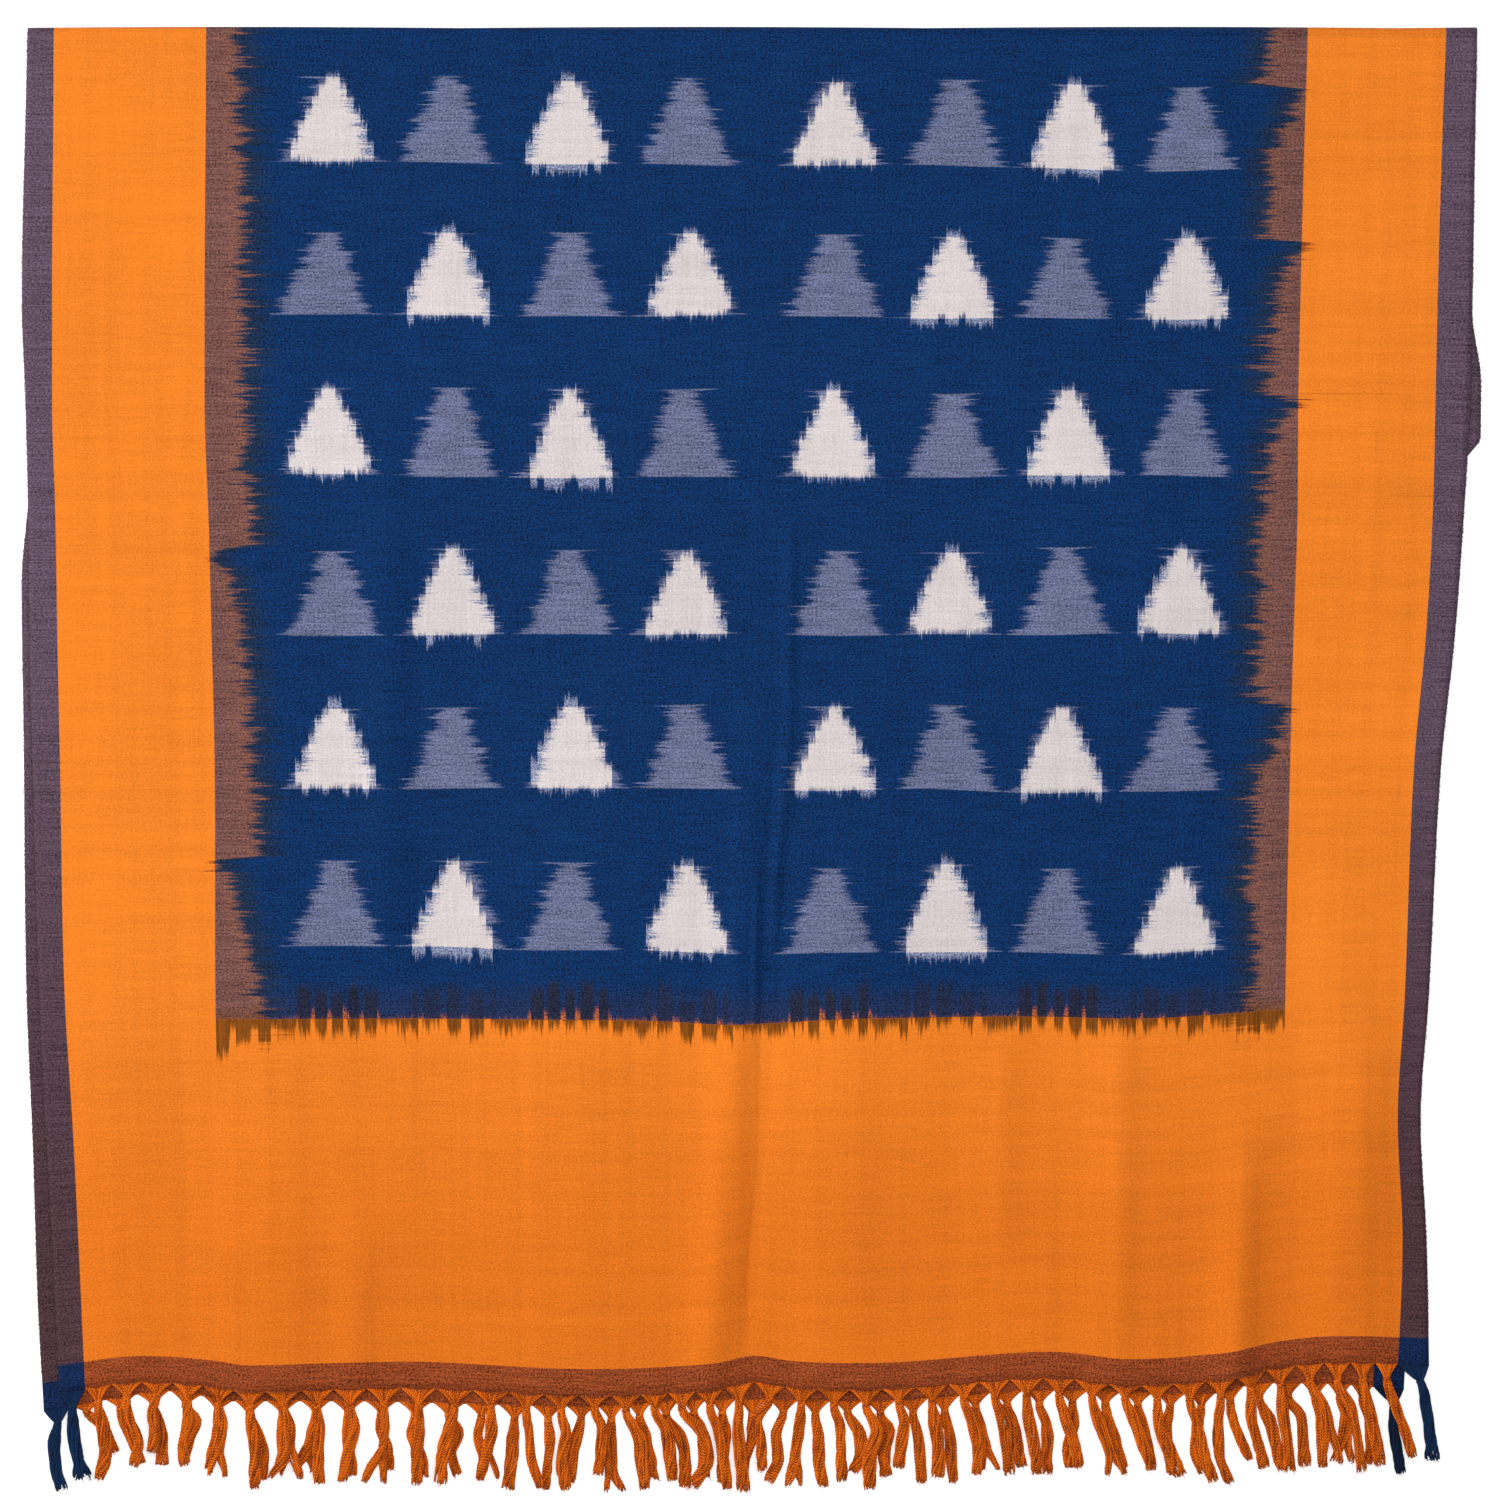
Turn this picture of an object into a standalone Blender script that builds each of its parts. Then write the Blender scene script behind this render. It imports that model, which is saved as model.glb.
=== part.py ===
"""A handwoven double-ikat shawl, folded in half and laid flat.

One length of cotton cloth runs from the front hem, up over a loose fold and down to the back hem, which
lies a little lower. The warp ends of both hems are knotted into tassels, and the selvedge stripes end in
a blue tassel at each corner. X is across the cloth, +Y points to the fold and the back half lies on the
floor at Z = 0. Metres throughout.
"""

import math

import bmesh
import bpy
import numpy as np

# The woven cloth
SELVEDGE_LEFT = 0.020
BORDER_LEFT = 0.118
FIELD = 0.852
BORDER_RIGHT = 0.107
SELVEDGE_RIGHT = 0.024
STRIPES = np.cumsum([0.0, SELVEDGE_LEFT, BORDER_LEFT, FIELD, BORDER_RIGHT, SELVEDGE_RIGHT])
CLOTH_WIDTH = STRIPES[-1]
THICKNESS = 0.0012
SEAM_GAP = 0.0003

# How it lies: the halves' lengths below the fold, the fold's radius and the front half's lowest level
FRONT_LENGTH = 1.060
BACK_LENGTH = 1.0726
FOLD_Y = 0.567
FOLD_RADIUS = 0.003
FOLD_EASE = 0.055
FRONT_LEVEL = 0.0026
FRONT_MINIMUM = 0.0021

# The photo that the tassels were read from: the size of a pixel, the middle column and the fold's row
PIXEL = 0.000775
MIDDLE_COLUMN = 751
FOLD_ROW = 28

# Mesh density
FRONT_ROWS_OF_FACES = 24
FOLD_ROWS_OF_FACES = 5

# Front half, where the stripes' edges lie at each distance below the fold
FRONT_ROWS = (
    # below,  left,   selvedge, field,  field,  selvedge, right
    (0.000, -0.5596, -0.5394, -0.4216, 0.4309, 0.5379, 0.5619),
    (0.211, -0.5646, -0.5413, -0.4232, 0.4255, 0.5317, 0.5588),
    (0.288, -0.5619, -0.5413, -0.4232, 0.4239, 0.5301, 0.5572),
    (0.381, -0.5596, -0.5386, -0.4201, 0.4232, 0.5278, 0.5518),
    (0.474, -0.5588, -0.5371, -0.4177, 0.4201, 0.5224, 0.5448),
    (0.567, -0.5565, -0.5351, -0.4154, 0.4177, 0.5138, 0.5348),
    (0.753, -0.5510, -0.5313, -0.4146, 0.4139, 0.5061, 0.5247),
    (0.846, -0.5464, -0.5255, -0.4123, 0.4123, 0.5007, 0.5185),
    (0.939, -0.5410, -0.5208, -0.4108, 0.4115, 0.5045, 0.5231),
    (1.060, -0.5355, -0.5154, -0.4100, 0.4108, 0.4999, 0.5255),
)

# Back half, whose left edge shows beside the front's and whose right edge bulges out once
BACK_ROWS = (
    # below,  left,   selvedge, field,  field,  selvedge, right
    (0.000, -0.5596, -0.5394, -0.4216, 0.4309, 0.5370, 0.5610),
    (0.020, -0.5596, -0.5394, -0.4216, 0.4300, 0.5368, 0.5608),
    (0.180, -0.5606, -0.5400, -0.4226, 0.4240, 0.5330, 0.5570),
    (0.227, -0.5600, -0.5396, -0.4220, 0.4225, 0.5350, 0.5590),
    (0.273, -0.5596, -0.5394, -0.4216, 0.4210, 0.5400, 0.5656),
    (0.319, -0.5594, -0.5392, -0.4214, 0.4200, 0.5400, 0.5652),
    (0.331, -0.5592, -0.5390, -0.4212, 0.4200, 0.5290, 0.5530),
    (0.366, -0.5598, -0.5398, -0.4220, 0.4190, 0.5210, 0.5450),
    (0.428, -0.5650, -0.5450, -0.4260, 0.4160, 0.5150, 0.5390),
    (0.552, -0.5634, -0.5434, -0.4250, 0.4080, 0.5040, 0.5280),
    (0.753, -0.5611, -0.5411, -0.4240, 0.3990, 0.4930, 0.5170),
    (0.862, -0.5565, -0.5365, -0.4210, 0.3940, 0.4870, 0.5110),
    (0.986, -0.5526, -0.5326, -0.4180, 0.3920, 0.4850, 0.5090),
    (1.0726, -0.5479, -0.5279, -0.4160, 0.3890, 0.4810, 0.5050),
)

# How far the back half's warp has slid to +X at its hem
BACK_SLIDE = (
    # station, slide
    (0.020, 0.0000),
    (0.045, 0.0062),
    (0.300, 0.0062),
    (0.380, 0.0010),
    (0.600, 0.0005),
    (0.800, 0.0030),
    (0.950, 0.0060),
    (1.050, 0.0030),
    (1.097, 0.0000),
)

# How far the hems are lifted above the lowest point of their half
FRONT_HEM = (
    # x,      lift
    (-0.535, 0.0023),
    (-0.472, 0.0100),
    (-0.411, 0.0060),
    (-0.391, 0.0030),
    (-0.270, 0.0054),
    (-0.129, 0.0000),
    (-0.028, 0.0046),
    (0.002, 0.0100),
    (0.032, 0.0060),
    (0.092, 0.0046),
    (0.233, 0.0130),
    (0.294, 0.0077),
    (0.354, 0.0110),
    (0.415, 0.0220),
    (0.455, 0.0256),
    (0.526, 0.0233),
)
BACK_HEM = (
    # x,      lift
    (-0.548, 0.0000),
    (-0.500, 0.0093),
    (-0.446, 0.0163),
    (-0.402, 0.0085),
    (-0.322, 0.0085),
    (-0.129, 0.0046),
    (-0.028, 0.0100),
    (0.092, 0.0085),
    (0.233, 0.0170),
    (0.354, 0.0140),
    (0.397, 0.0225),
    (0.463, 0.0210),
    (0.505, 0.0170),
)

# The front half's soft folds: each axis runs from its first to its second point, fading in and out
FOLDS = (
    # x,      below,  x,      below,  width,  height
    (-0.497, 0.300, -0.480, 1.060, 0.035, 0.0024),
    (-0.365, 0.620, -0.380, 1.100, 0.042, 0.0046),
    (-0.150, 0.500, -0.110, 1.100, 0.056, 0.0038),
    (0.034, 0.430, -0.004, 1.040, 0.010, -0.0022),
    (0.012, 0.700, -0.026, 1.060, 0.026, 0.0022),
    (0.078, 0.560, 0.070, 1.100, 0.038, 0.0042),
    (0.290, 0.680, 0.298, 1.100, 0.034, 0.0036),
    (0.368, 0.800, 0.380, 1.100, 0.021, 0.0048),
    (0.452, 0.560, 0.462, 1.060, 0.026, 0.0036),
)
FOLD_FADE = 0.220

# Fringe: a woven-in strip along each hem, and knotted tassels whose rows give the shape down to the end
STRIP = 0.0015
FLOOR_CLEARANCE = 0.0003
OVER_BACK_CLOTH = 0.0022
OVER_BACK_TASSEL = 0.0049
TASSEL_SPACE = 0.0006
TASSEL_RINGS = (
    # share of the length, width, height
    (0.085, 0.0110, 0.0016),
    (0.155, 0.0066, 0.0036),
    (0.225, 0.0070, 0.0036),
    (0.400, 0.0092, 0.0042),
    (0.700, 0.0100, 0.0042),
    (1.000, 0.0088, 0.0032),
)
BEND_SHARES = (0.0, 0.155, 0.400, 0.700, 1.0)
FIRST_TAIL_RING = 2
TOP_SHARE = 0.66

# How each tassel lies, in the photo's pixels: its columns at the hem, at 0.4 and 0.7 of its length and at
# its end, and the row of its end
FRONT_TASSELS = (
    # root, upper, lower, end, foot
    (99, 104, 107, 100, 1480),
    (127, 131, 140, 135, 1466),
    (158, 153, 156, 153, 1452),
    (189, 189, 184, 186, 1466),
    (219, 223, 219, 218, 1475),
    (250, 253, 256, 256, 1489),
    (284, 290, 291, 286, 1478),
    (318, 320, 319, 320, 1483),
    (350, 355, 348, 343, 1481),
    (384, 386, 380, 374, 1482),
    (419, 420, 417, 417, 1484),
    (455, 450, 443, 441, 1484),
    (491, 492, 488, 489, 1478),
    (527, 529, 532, 541, 1486),
    (562, 566, 562, 567, 1488),
    (596, 602, 601, 598, 1474),
    (627, 638, 642, 645, 1487),
    (655, 666, 670, 673, 1478),
    (682, 701, 708, 692, 1484),
    (710, 718, 724, 728, 1488),
    (739, 738, 741, 744, 1491),
    (769, 757, 761, 762, 1470),
    (801, 799, 795, 794, 1486),
    (834, 840, 841, 842, 1480),
    (866, 877, 869, 870, 1489),
    (899, 904, 901, 898, 1467),
    (932, 935, 938, 938, 1476),
    (964, 972, 977, 977, 1474),
    (995, 1003, 1006, 1009, 1475),
    (1026, 1028, 1034, 1038, 1474),
    (1058, 1064, 1073, 1079, 1467),
    (1092, 1098, 1109, 1116, 1474),
    (1125, 1132, 1141, 1150, 1462),
    (1157, 1158, 1168, 1180, 1474),
    (1190, 1196, 1203, 1213, 1480),
    (1220, 1218, 1219, 1229, 1483),
    (1250, 1250, 1257, 1264, 1468),
    (1280, 1282, 1286, 1289, 1471),
    (1309, 1321, 1327, 1331, 1464),
    (1336, 1349, 1356, 1360, 1471),
    (1362, 1366, 1373, 1378, 1465),
    (1385, 1392, 1402, 1411, 1457),
)
BACK_TASSELS = (
    # upper, lower, end, foot
    (101, 109, 115, 1453),
    (127, 135, 143, 1464),
    (160, 164, 163, 1466),
    (197, 190, 184, 1462),
    (218, 214, 210, 1470),
    (259, 264, 262, 1480),
    (283, 284, 278, 1474),
    (314, 308, 304, 1472),
    (348, 350, 353, 1476),
    (382, 388, 390, 1470),
    (414, 420, 424, 1478),
    (458, 452, 458, 1475),
    (478, 484, 480, 1480),
    (513, 511, 508, 1489),
    (550, 548, 545, 1489),
    (577, 573, 572, 1482),
    (610, 611, 615, 1491),
    (644, 650, 653, 1480),
    (680, 685, 685, 1488),
    (702, 703, 704, 1478),
    (725, 723, 722, 1482),
    (752, 744, 741, 1490),
    (776, 778, 768, 1482),
    (818, 819, 823, 1487),
    (858, 861, 853, 1472),
    (888, 884, 886, 1476),
    (917, 920, 921, 1482),
    (949, 951, 953, 1482),
    (980, 985, 990, 1470),
    (1012, 1016, 1022, 1468),
    (1046, 1047, 1047, 1474),
    (1073, 1068, 1070, 1468),
    (1109, 1116, 1124, 1468),
    (1142, 1147, 1151, 1470),
    (1166, 1167, 1172, 1474),
    (1197, 1195, 1204, 1473),
    (1232, 1240, 1249, 1460),
    (1268, 1275, 1281, 1470),
    (1300, 1302, 1304, 1467),
    (1320, 1320, 1322, 1468),
    (1345, 1343, 1341, 1462),
    (1368, 1370, 1366, 1464),
)

# The corner tassels: the shifts to +X from the root at the knot, on the way and at the end, and the length
CORNER_TASSELS = (
    # name,                half,    knot,   upper,   lower,   end,    length
    ("front_tassel_left", "front", 0.0005, 0.0006, 0.0032, 0.0085, 0.068),
    ("front_tassel_right", "front", 0.0050, 0.0096, 0.0126, 0.0150, 0.074),
    ("back_tassel_left", "back", 0.0010, -0.0016, -0.0008, 0.0040, 0.062),
    ("back_tassel_right", "back", 0.0040, 0.0038, 0.0062, 0.0100, 0.066),
)


# Each half's stripes, hem and length
HALVES = {
    "front": (FRONT_ROWS, FRONT_HEM, FRONT_LENGTH),
    "back": (BACK_ROWS, BACK_HEM, BACK_LENGTH),
}


def photo_x(columns):
    """X of the photo's columns."""
    return (columns - MIDDLE_COLUMN) * PIXEL


def column_stations():
    """Places across the woven width: the selvedge stripes' edges and the cusps between the tassels."""
    roots = np.array([row[0] for row in FRONT_TASSELS], dtype=float)
    between = photo_x((roots[1:] + roots[:-1]) / 2)
    cusps = np.interp(between, FRONT_ROWS[-1][1:], STRIPES).round(3)
    return np.concatenate([[0.0, STRIPES[1]], cusps, [STRIPES[4], CLOTH_WIDTH]])


def across(rows, station, below):
    """X of a place across the woven width, at a distance below the fold."""
    table = np.array(rows)
    edges = [np.interp(below, table[:, 0], table[:, column]) for column in range(1, table.shape[1])]
    x = float(np.interp(station, STRIPES, edges))
    if rows is BACK_ROWS:
        slide = np.array(BACK_SLIDE)
        x += float(np.interp(station, slide[:, 0], slide[:, 1])) * (below / BACK_LENGTH) ** 3
    return x


def hem_length(half, station):
    """Distance from the fold down to the hem of one half, at a place across the woven width."""
    rows, hem, length = HALVES[half]
    table = np.array(hem)
    return length - float(np.interp(across(rows, station, length), table[:, 0], table[:, 1]))


def fold_height(x, below):
    """Sum of the soft folds' heights at a point of the front half."""
    height = 0.0
    for start_x, start, end_x, end, width, rise in FOLDS:
        along = (below - start) / (end - start)
        axis_x = start_x + (end_x - start_x) * along
        fade = min(max((below - start) / FOLD_FADE, 0.0), 1.0) * min(max((end - below) / 0.04, 0.0), 1.0)
        fade = fade * fade * (3.0 - 2.0 * fade)
        height += rise * fade * math.exp(-(((x - axis_x) / width) ** 2))
    return height


def front_level(x, below):
    """Middle of the front half's wall above the floor."""
    top = THICKNESS / 2 + 2 * FOLD_RADIUS
    ease = math.exp(-(((below - FOLD_RADIUS) / FOLD_EASE) ** 2))
    return max(FRONT_LEVEL + (top - FRONT_LEVEL) * ease + fold_height(x, below), FRONT_MINIMUM)


def cloth_point(half, station, below):
    """Point in the middle of the wall, at a distance below the fold."""
    if half == "front":
        x = across(FRONT_ROWS, station, below)
        return (x, FOLD_Y - below, front_level(x, below))
    return (across(BACK_ROWS, station, below), FOLD_Y - below, THICKNESS / 2)


def fold_point(station, angle):
    """Point on the rounded fold, from -90 degrees at the back half to +90 at the front half."""
    share = 0.5 + angle / math.pi
    front = across(FRONT_ROWS, station, FOLD_RADIUS)
    back = across(BACK_ROWS, station, FOLD_RADIUS)
    return (
        back + (front - back) * share,
        FOLD_Y - FOLD_RADIUS + FOLD_RADIUS * math.cos(angle),
        THICKNESS / 2 + FOLD_RADIUS * (1.0 + math.sin(angle)),
    )


def cloth_rows(station):
    """Points of one warp line, from the front hem over the fold to the back hem."""
    length = hem_length("front", station)
    shares = (np.arange(FRONT_ROWS_OF_FACES, -1, -1) / FRONT_ROWS_OF_FACES) ** 1.15
    points = [
        cloth_point("front", station, FOLD_RADIUS + (length - FOLD_RADIUS) * share) for share in shares
    ]
    angles = np.linspace(math.pi / 2, -math.pi / 2, FOLD_ROWS_OF_FACES + 1)[1:]
    points += [fold_point(station, angle) for angle in angles]
    length = hem_length("back", station)
    points += [
        cloth_point("back", station, row[0] / BACK_LENGTH * length) for row in BACK_ROWS[1:]
    ]
    return points


def make_material(name, color, roughness):
    material = bpy.data.materials.new(name)
    material.use_nodes = True
    shader = material.node_tree.nodes["Principled BSDF"]
    shader.inputs["Base Color"].default_value = (*color, 1.0)
    shader.inputs["Roughness"].default_value = roughness
    shader.inputs["Metallic"].default_value = 0.0
    material.diffuse_color = (*color, 1.0)
    return material


def make_cloth(collection, material):
    """The whole woven length: a grid laid along the warp lines, given its wall by Solidify."""
    stations = column_stations()
    columns = [cloth_rows(station) for station in stations]
    across_faces = len(stations) - 1
    along_faces = len(columns[0]) - 1
    bpy.ops.mesh.primitive_grid_add(
        x_subdivisions=across_faces, y_subdivisions=along_faces, size=1.0, location=(0, 0, 0)
    )
    cloth = bpy.context.active_object
    cloth.name = "shawl_cloth"
    cloth.data.name = "shawl_cloth"
    for vertex in cloth.data.vertices:
        column = round((vertex.co.x + 0.5) * across_faces)
        row = round((vertex.co.y + 0.5) * along_faces)
        vertex.co = columns[column][row]
    solidify = cloth.modifiers.new("wall", "SOLIDIFY")
    solidify.thickness = THICKNESS
    solidify.offset = 0.0
    cloth.data.materials.append(material)
    cloth.data.shade_smooth()
    move_to(cloth, collection)
    return cloth


def hem_line(half, stations):
    """Hem points as (x, y, lower z, upper z), where the fringe's strip meets the wall."""
    line = []
    for station in stations:
        x, y, middle = cloth_point(half, station, hem_length(half, station))
        low = max(middle - THICKNESS / 2, FLOOR_CLEARANCE)
        line.append((x, y - SEAM_GAP, low, middle + THICKNESS / 2))
    return line


def tassel_lies(half):
    """Each tassel's shifts to +X from its root and its length, to a tenth of a millimetre."""
    rows, hem, length = HALVES[half]
    cusps = np.array([across(rows, station, length) for station in column_stations()[1:-1]])
    roots = (cusps[1:] + cusps[:-1]) / 2
    table = np.array(hem)
    hems = length - np.interp(roots, table[:, 0], table[:, 1])
    readings = FRONT_TASSELS if half == "front" else BACK_TASSELS
    *columns, foot = np.array([row[-4:] for row in readings], dtype=float).T
    shifts = [photo_x(column) - roots for column in columns]
    return np.column_stack([*shifts, (foot - FOLD_ROW) * PIXEL - hems]).round(4)


def tassel_layout(half, corner=None):
    """The hem's cusps, and for each tassel its shifts at the knot, twice on the way and at the end."""
    stations = column_stations()
    if corner is not None:
        name, _, *shift = corner
        return hem_line(half, stations[:2] if name.endswith("left") else stations[-2:]), [shift]
    inner = stations[1:-1].copy()
    inner[0] += SEAM_GAP
    inner[-1] -= SEAM_GAP
    return hem_line(half, inner), [(0.0, *row) for row in tassel_lies(half)]


def tassel_rings(left, right, shift):
    """Rings of one tassel below its root, each as (x, y, width, height)."""
    *bends, length = shift
    root_x = (left[0] + right[0]) / 2
    root_y = (left[1] + right[1]) / 2
    return [
        (root_x + float(np.interp(share, BEND_SHARES, (0.0, *bends))), root_y - share * length, width, height)
        for share, width, height in TASSEL_RINGS
    ]


def rests_on(rings, below_rings):
    """True for each tail ring next to a stretch that passes over a tassel of the back hem."""
    over = [index == FIRST_TAIL_RING for index in range(len(rings))]
    for index in range(FIRST_TAIL_RING, len(rings) - 1):
        first, second = rings[index], rings[index + 1]
        for share in np.linspace(0.0, 1.0, 9):
            x, y, width, _ = (a + (b - a) * share for a, b in zip(first, second))
            for other in below_rings:
                ys = [-ring[1] for ring in other]
                if not ys[0] <= -y <= ys[-1] + TASSEL_SPACE:
                    continue
                other_x = np.interp(-y, ys, [ring[0] for ring in other])
                other_width = np.interp(-y, ys, [ring[2] for ring in other])
                if abs(x - other_x) < (width + other_width) / 2 + TASSEL_SPACE:
                    over[index] = over[index + 1] = True
    return over


def ring_levels(half, left, rings, below_rings):
    """Underside of each ring: the back's lie on the floor, the front's on the back half and its tassels."""
    if half == "back":
        return [FLOOR_CLEARANCE] * len(rings)
    over = rests_on(rings, below_rings)
    levels = [max(left[2] * 0.7, OVER_BACK_CLOTH), OVER_BACK_CLOTH]
    for resting in over[FIRST_TAIL_RING:]:
        levels.append(OVER_BACK_TASSEL if resting else FLOOR_CLEARANCE)
    return levels


def ring_corners(ring, level):
    x, y, width, height = ring
    top = width * TOP_SHARE / 2
    return [
        (x - width / 2, y, level),
        (x + width / 2, y, level),
        (x + top, y, level + height),
        (x - top, y, level + height),
    ]


def make_fringe(name, half, layout, below_rings, collection, material):
    """A strip along the hem whose outer faces are the tassels' roots, all in one closed mesh."""
    line, shifts = layout
    bm = bmesh.new()
    strip = []
    for x, y, low, high in line:
        strip.append([
            bm.verts.new((x, y, low)),
            bm.verts.new((x, y, high)),
            bm.verts.new((x, y - STRIP, low)),
            bm.verts.new((x, y - STRIP, high)),
        ])
    for index, shift in enumerate(shifts):
        a_low, a_high, b_low, b_high = strip[index]
        c_low, c_high, d_low, d_high = strip[index + 1]
        bm.faces.new((a_low, c_low, c_high, a_high))
        bm.faces.new((a_high, c_high, d_high, b_high))
        bm.faces.new((a_low, b_low, d_low, c_low))
        rings = tassel_rings(line[index], line[index + 1], shift)
        levels = ring_levels(half, line[index], rings, below_rings)
        previous = [b_low, d_low, d_high, b_high]
        for ring, level in zip(rings, levels):
            current = [bm.verts.new(corner) for corner in ring_corners(ring, level)]
            for side in range(4):
                following = (side + 1) % 4
                bm.faces.new((previous[side], previous[following], current[following], current[side]))
            previous = current
        bm.faces.new(previous)
    for end in (strip[0], strip[-1]):
        bm.faces.new((end[0], end[1], end[3], end[2]))
    bmesh.ops.recalc_face_normals(bm, faces=bm.faces)
    mesh = bpy.data.meshes.new(name)
    bm.to_mesh(mesh)
    bm.free()
    mesh.materials.append(material)
    fringe = bpy.data.objects.new(name, mesh)
    collection.objects.link(fringe)
    return fringe


def move_to(thing, collection):
    for other in list(thing.users_collection):
        other.objects.unlink(thing)
    collection.objects.link(thing)


def centre_on_floor(things):
    """Moves every mesh so that the middle of the whole shawl's underside is at the origin."""
    graph = bpy.context.evaluated_depsgraph_get()
    points = []
    for thing in things:
        mesh = thing.evaluated_get(graph).to_mesh()
        points += [tuple(vertex.co) for vertex in mesh.vertices]
    points = np.array(points)
    low, high = points.min(axis=0), points.max(axis=0)
    shift = np.array([(low[0] + high[0]) / 2, (low[1] + high[1]) / 2, low[2]])
    for thing in things:
        for vertex in thing.data.vertices:
            vertex.co = np.array(vertex.co) - shift


def main():
    for thing in list(bpy.data.objects):
        bpy.data.objects.remove(thing, do_unlink=True)
    collection = bpy.data.collections.new("triangle_shawl")
    bpy.context.scene.collection.children.link(collection)
    cotton = make_material("ikat_cotton", (0.010, 0.045, 0.180), 0.85)
    orange = make_material("orange_yarn", (0.760, 0.190, 0.012), 0.80)
    blue = make_material("blue_yarn", (0.006, 0.030, 0.100), 0.80)

    corners = {half: [row for row in CORNER_TASSELS if row[1] == half] for half in ("front", "back")}
    layouts = {half: tassel_layout(half) for half in ("front", "back")}
    below_rings = []
    for line, shifts in [layouts["back"]] + [tassel_layout("back", corner) for corner in corners["back"]]:
        below_rings += [tassel_rings(*pair) for pair in zip(line, line[1:], shifts)]

    things = [make_cloth(collection, cotton)]
    for half in ("front", "back"):
        things.append(make_fringe(half + "_fringe", half, layouts[half], below_rings, collection, orange))
        for corner in corners[half]:
            layout = tassel_layout(half, corner)
            things.append(make_fringe(corner[0], half, layout, below_rings, collection, blue))
    centre_on_floor(things)


main()
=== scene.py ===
# Folded double-ikat shawl: woven cloth, knotted fringe, lights and camera
import math

import bpy
import numpy as np
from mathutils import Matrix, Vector


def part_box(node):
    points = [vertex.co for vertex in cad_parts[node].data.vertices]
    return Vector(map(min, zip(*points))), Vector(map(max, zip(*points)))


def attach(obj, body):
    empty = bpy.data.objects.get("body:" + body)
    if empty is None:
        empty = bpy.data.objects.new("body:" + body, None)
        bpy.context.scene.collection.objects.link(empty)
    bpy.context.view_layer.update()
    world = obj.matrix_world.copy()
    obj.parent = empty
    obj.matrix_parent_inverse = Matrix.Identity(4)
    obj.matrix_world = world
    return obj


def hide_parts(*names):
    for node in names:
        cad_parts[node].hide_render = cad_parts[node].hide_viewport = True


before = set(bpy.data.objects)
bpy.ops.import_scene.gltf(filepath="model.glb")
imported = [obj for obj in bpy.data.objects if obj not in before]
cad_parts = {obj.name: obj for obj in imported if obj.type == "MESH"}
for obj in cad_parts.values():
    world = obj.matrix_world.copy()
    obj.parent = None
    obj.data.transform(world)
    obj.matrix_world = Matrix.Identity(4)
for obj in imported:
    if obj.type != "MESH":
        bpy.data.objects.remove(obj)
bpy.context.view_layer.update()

print("frame loaded:", len(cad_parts), "solids")


# The shawl lies as its solid does. Tables are in metres, measured across and down from the fold, unless a
# comment says otherwise.
clothValues = {
    # from the left: selvedge, border, field, border, selvedge
    "stripes": np.cumsum([0.0, 0.020, 0.118, 0.852, 0.107, 0.024]),
    "thickness": 0.0007,
    "wallMiddle": 0.0006,  # middle of the solid's wall above the floor
    "foldY": 0.567,
    "foldRadius": 0.003,
    "foldEase": 0.055,  # how far down the front half settles from the fold
    "foldTopMargin": 0.0006,  # the solid's half wall beyond the fold's outer line
    "frontLevel": 0.0026,
    "frontLowest": 0.0021,
    "frontLength": 1.060,
    "backLength": 1.0726,
    "frontWarp": 1.056,  # woven length from the fold's left end to each hem
    "backWarp": 1.068,
    "scallop": 0.0012,  # how far each knot pulls the hem down
    "scallopHigh": 0.012,
    "facesPerTassel": 5,
    "facesAtCrease": 20,
    "creaseStations": (0.528, 0.607),
    "frontRows": 110,
    "foldRows": 12,
    "backRows": 24,
    "nearFold": (0.014, -0.022),  # woven lengths where the fold's finer rows start and end
    "hemRows": 4,
    "hemRowHigh": 0.003,
}
frontEdges = np.array([
    # below,  left,   selvedge, field,  field,  selvedge, right
    (0.000, -0.5596, -0.5394, -0.4216, 0.4309, 0.5379, 0.5619),
    (0.211, -0.5646, -0.5413, -0.4232, 0.4255, 0.5317, 0.5588),
    (0.288, -0.5619, -0.5413, -0.4232, 0.4239, 0.5301, 0.5572),
    (0.381, -0.5596, -0.5386, -0.4201, 0.4232, 0.5278, 0.5518),
    (0.474, -0.5588, -0.5371, -0.4177, 0.4201, 0.5224, 0.5448),
    (0.567, -0.5565, -0.5351, -0.4154, 0.4177, 0.5138, 0.5348),
    (0.753, -0.5510, -0.5313, -0.4146, 0.4139, 0.5061, 0.5247),
    (0.846, -0.5464, -0.5255, -0.4123, 0.4123, 0.5007, 0.5185),
    (0.939, -0.5410, -0.5208, -0.4108, 0.4115, 0.5045, 0.5231),
    (1.060, -0.5355, -0.5154, -0.4100, 0.4108, 0.4999, 0.5255),
])
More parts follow.
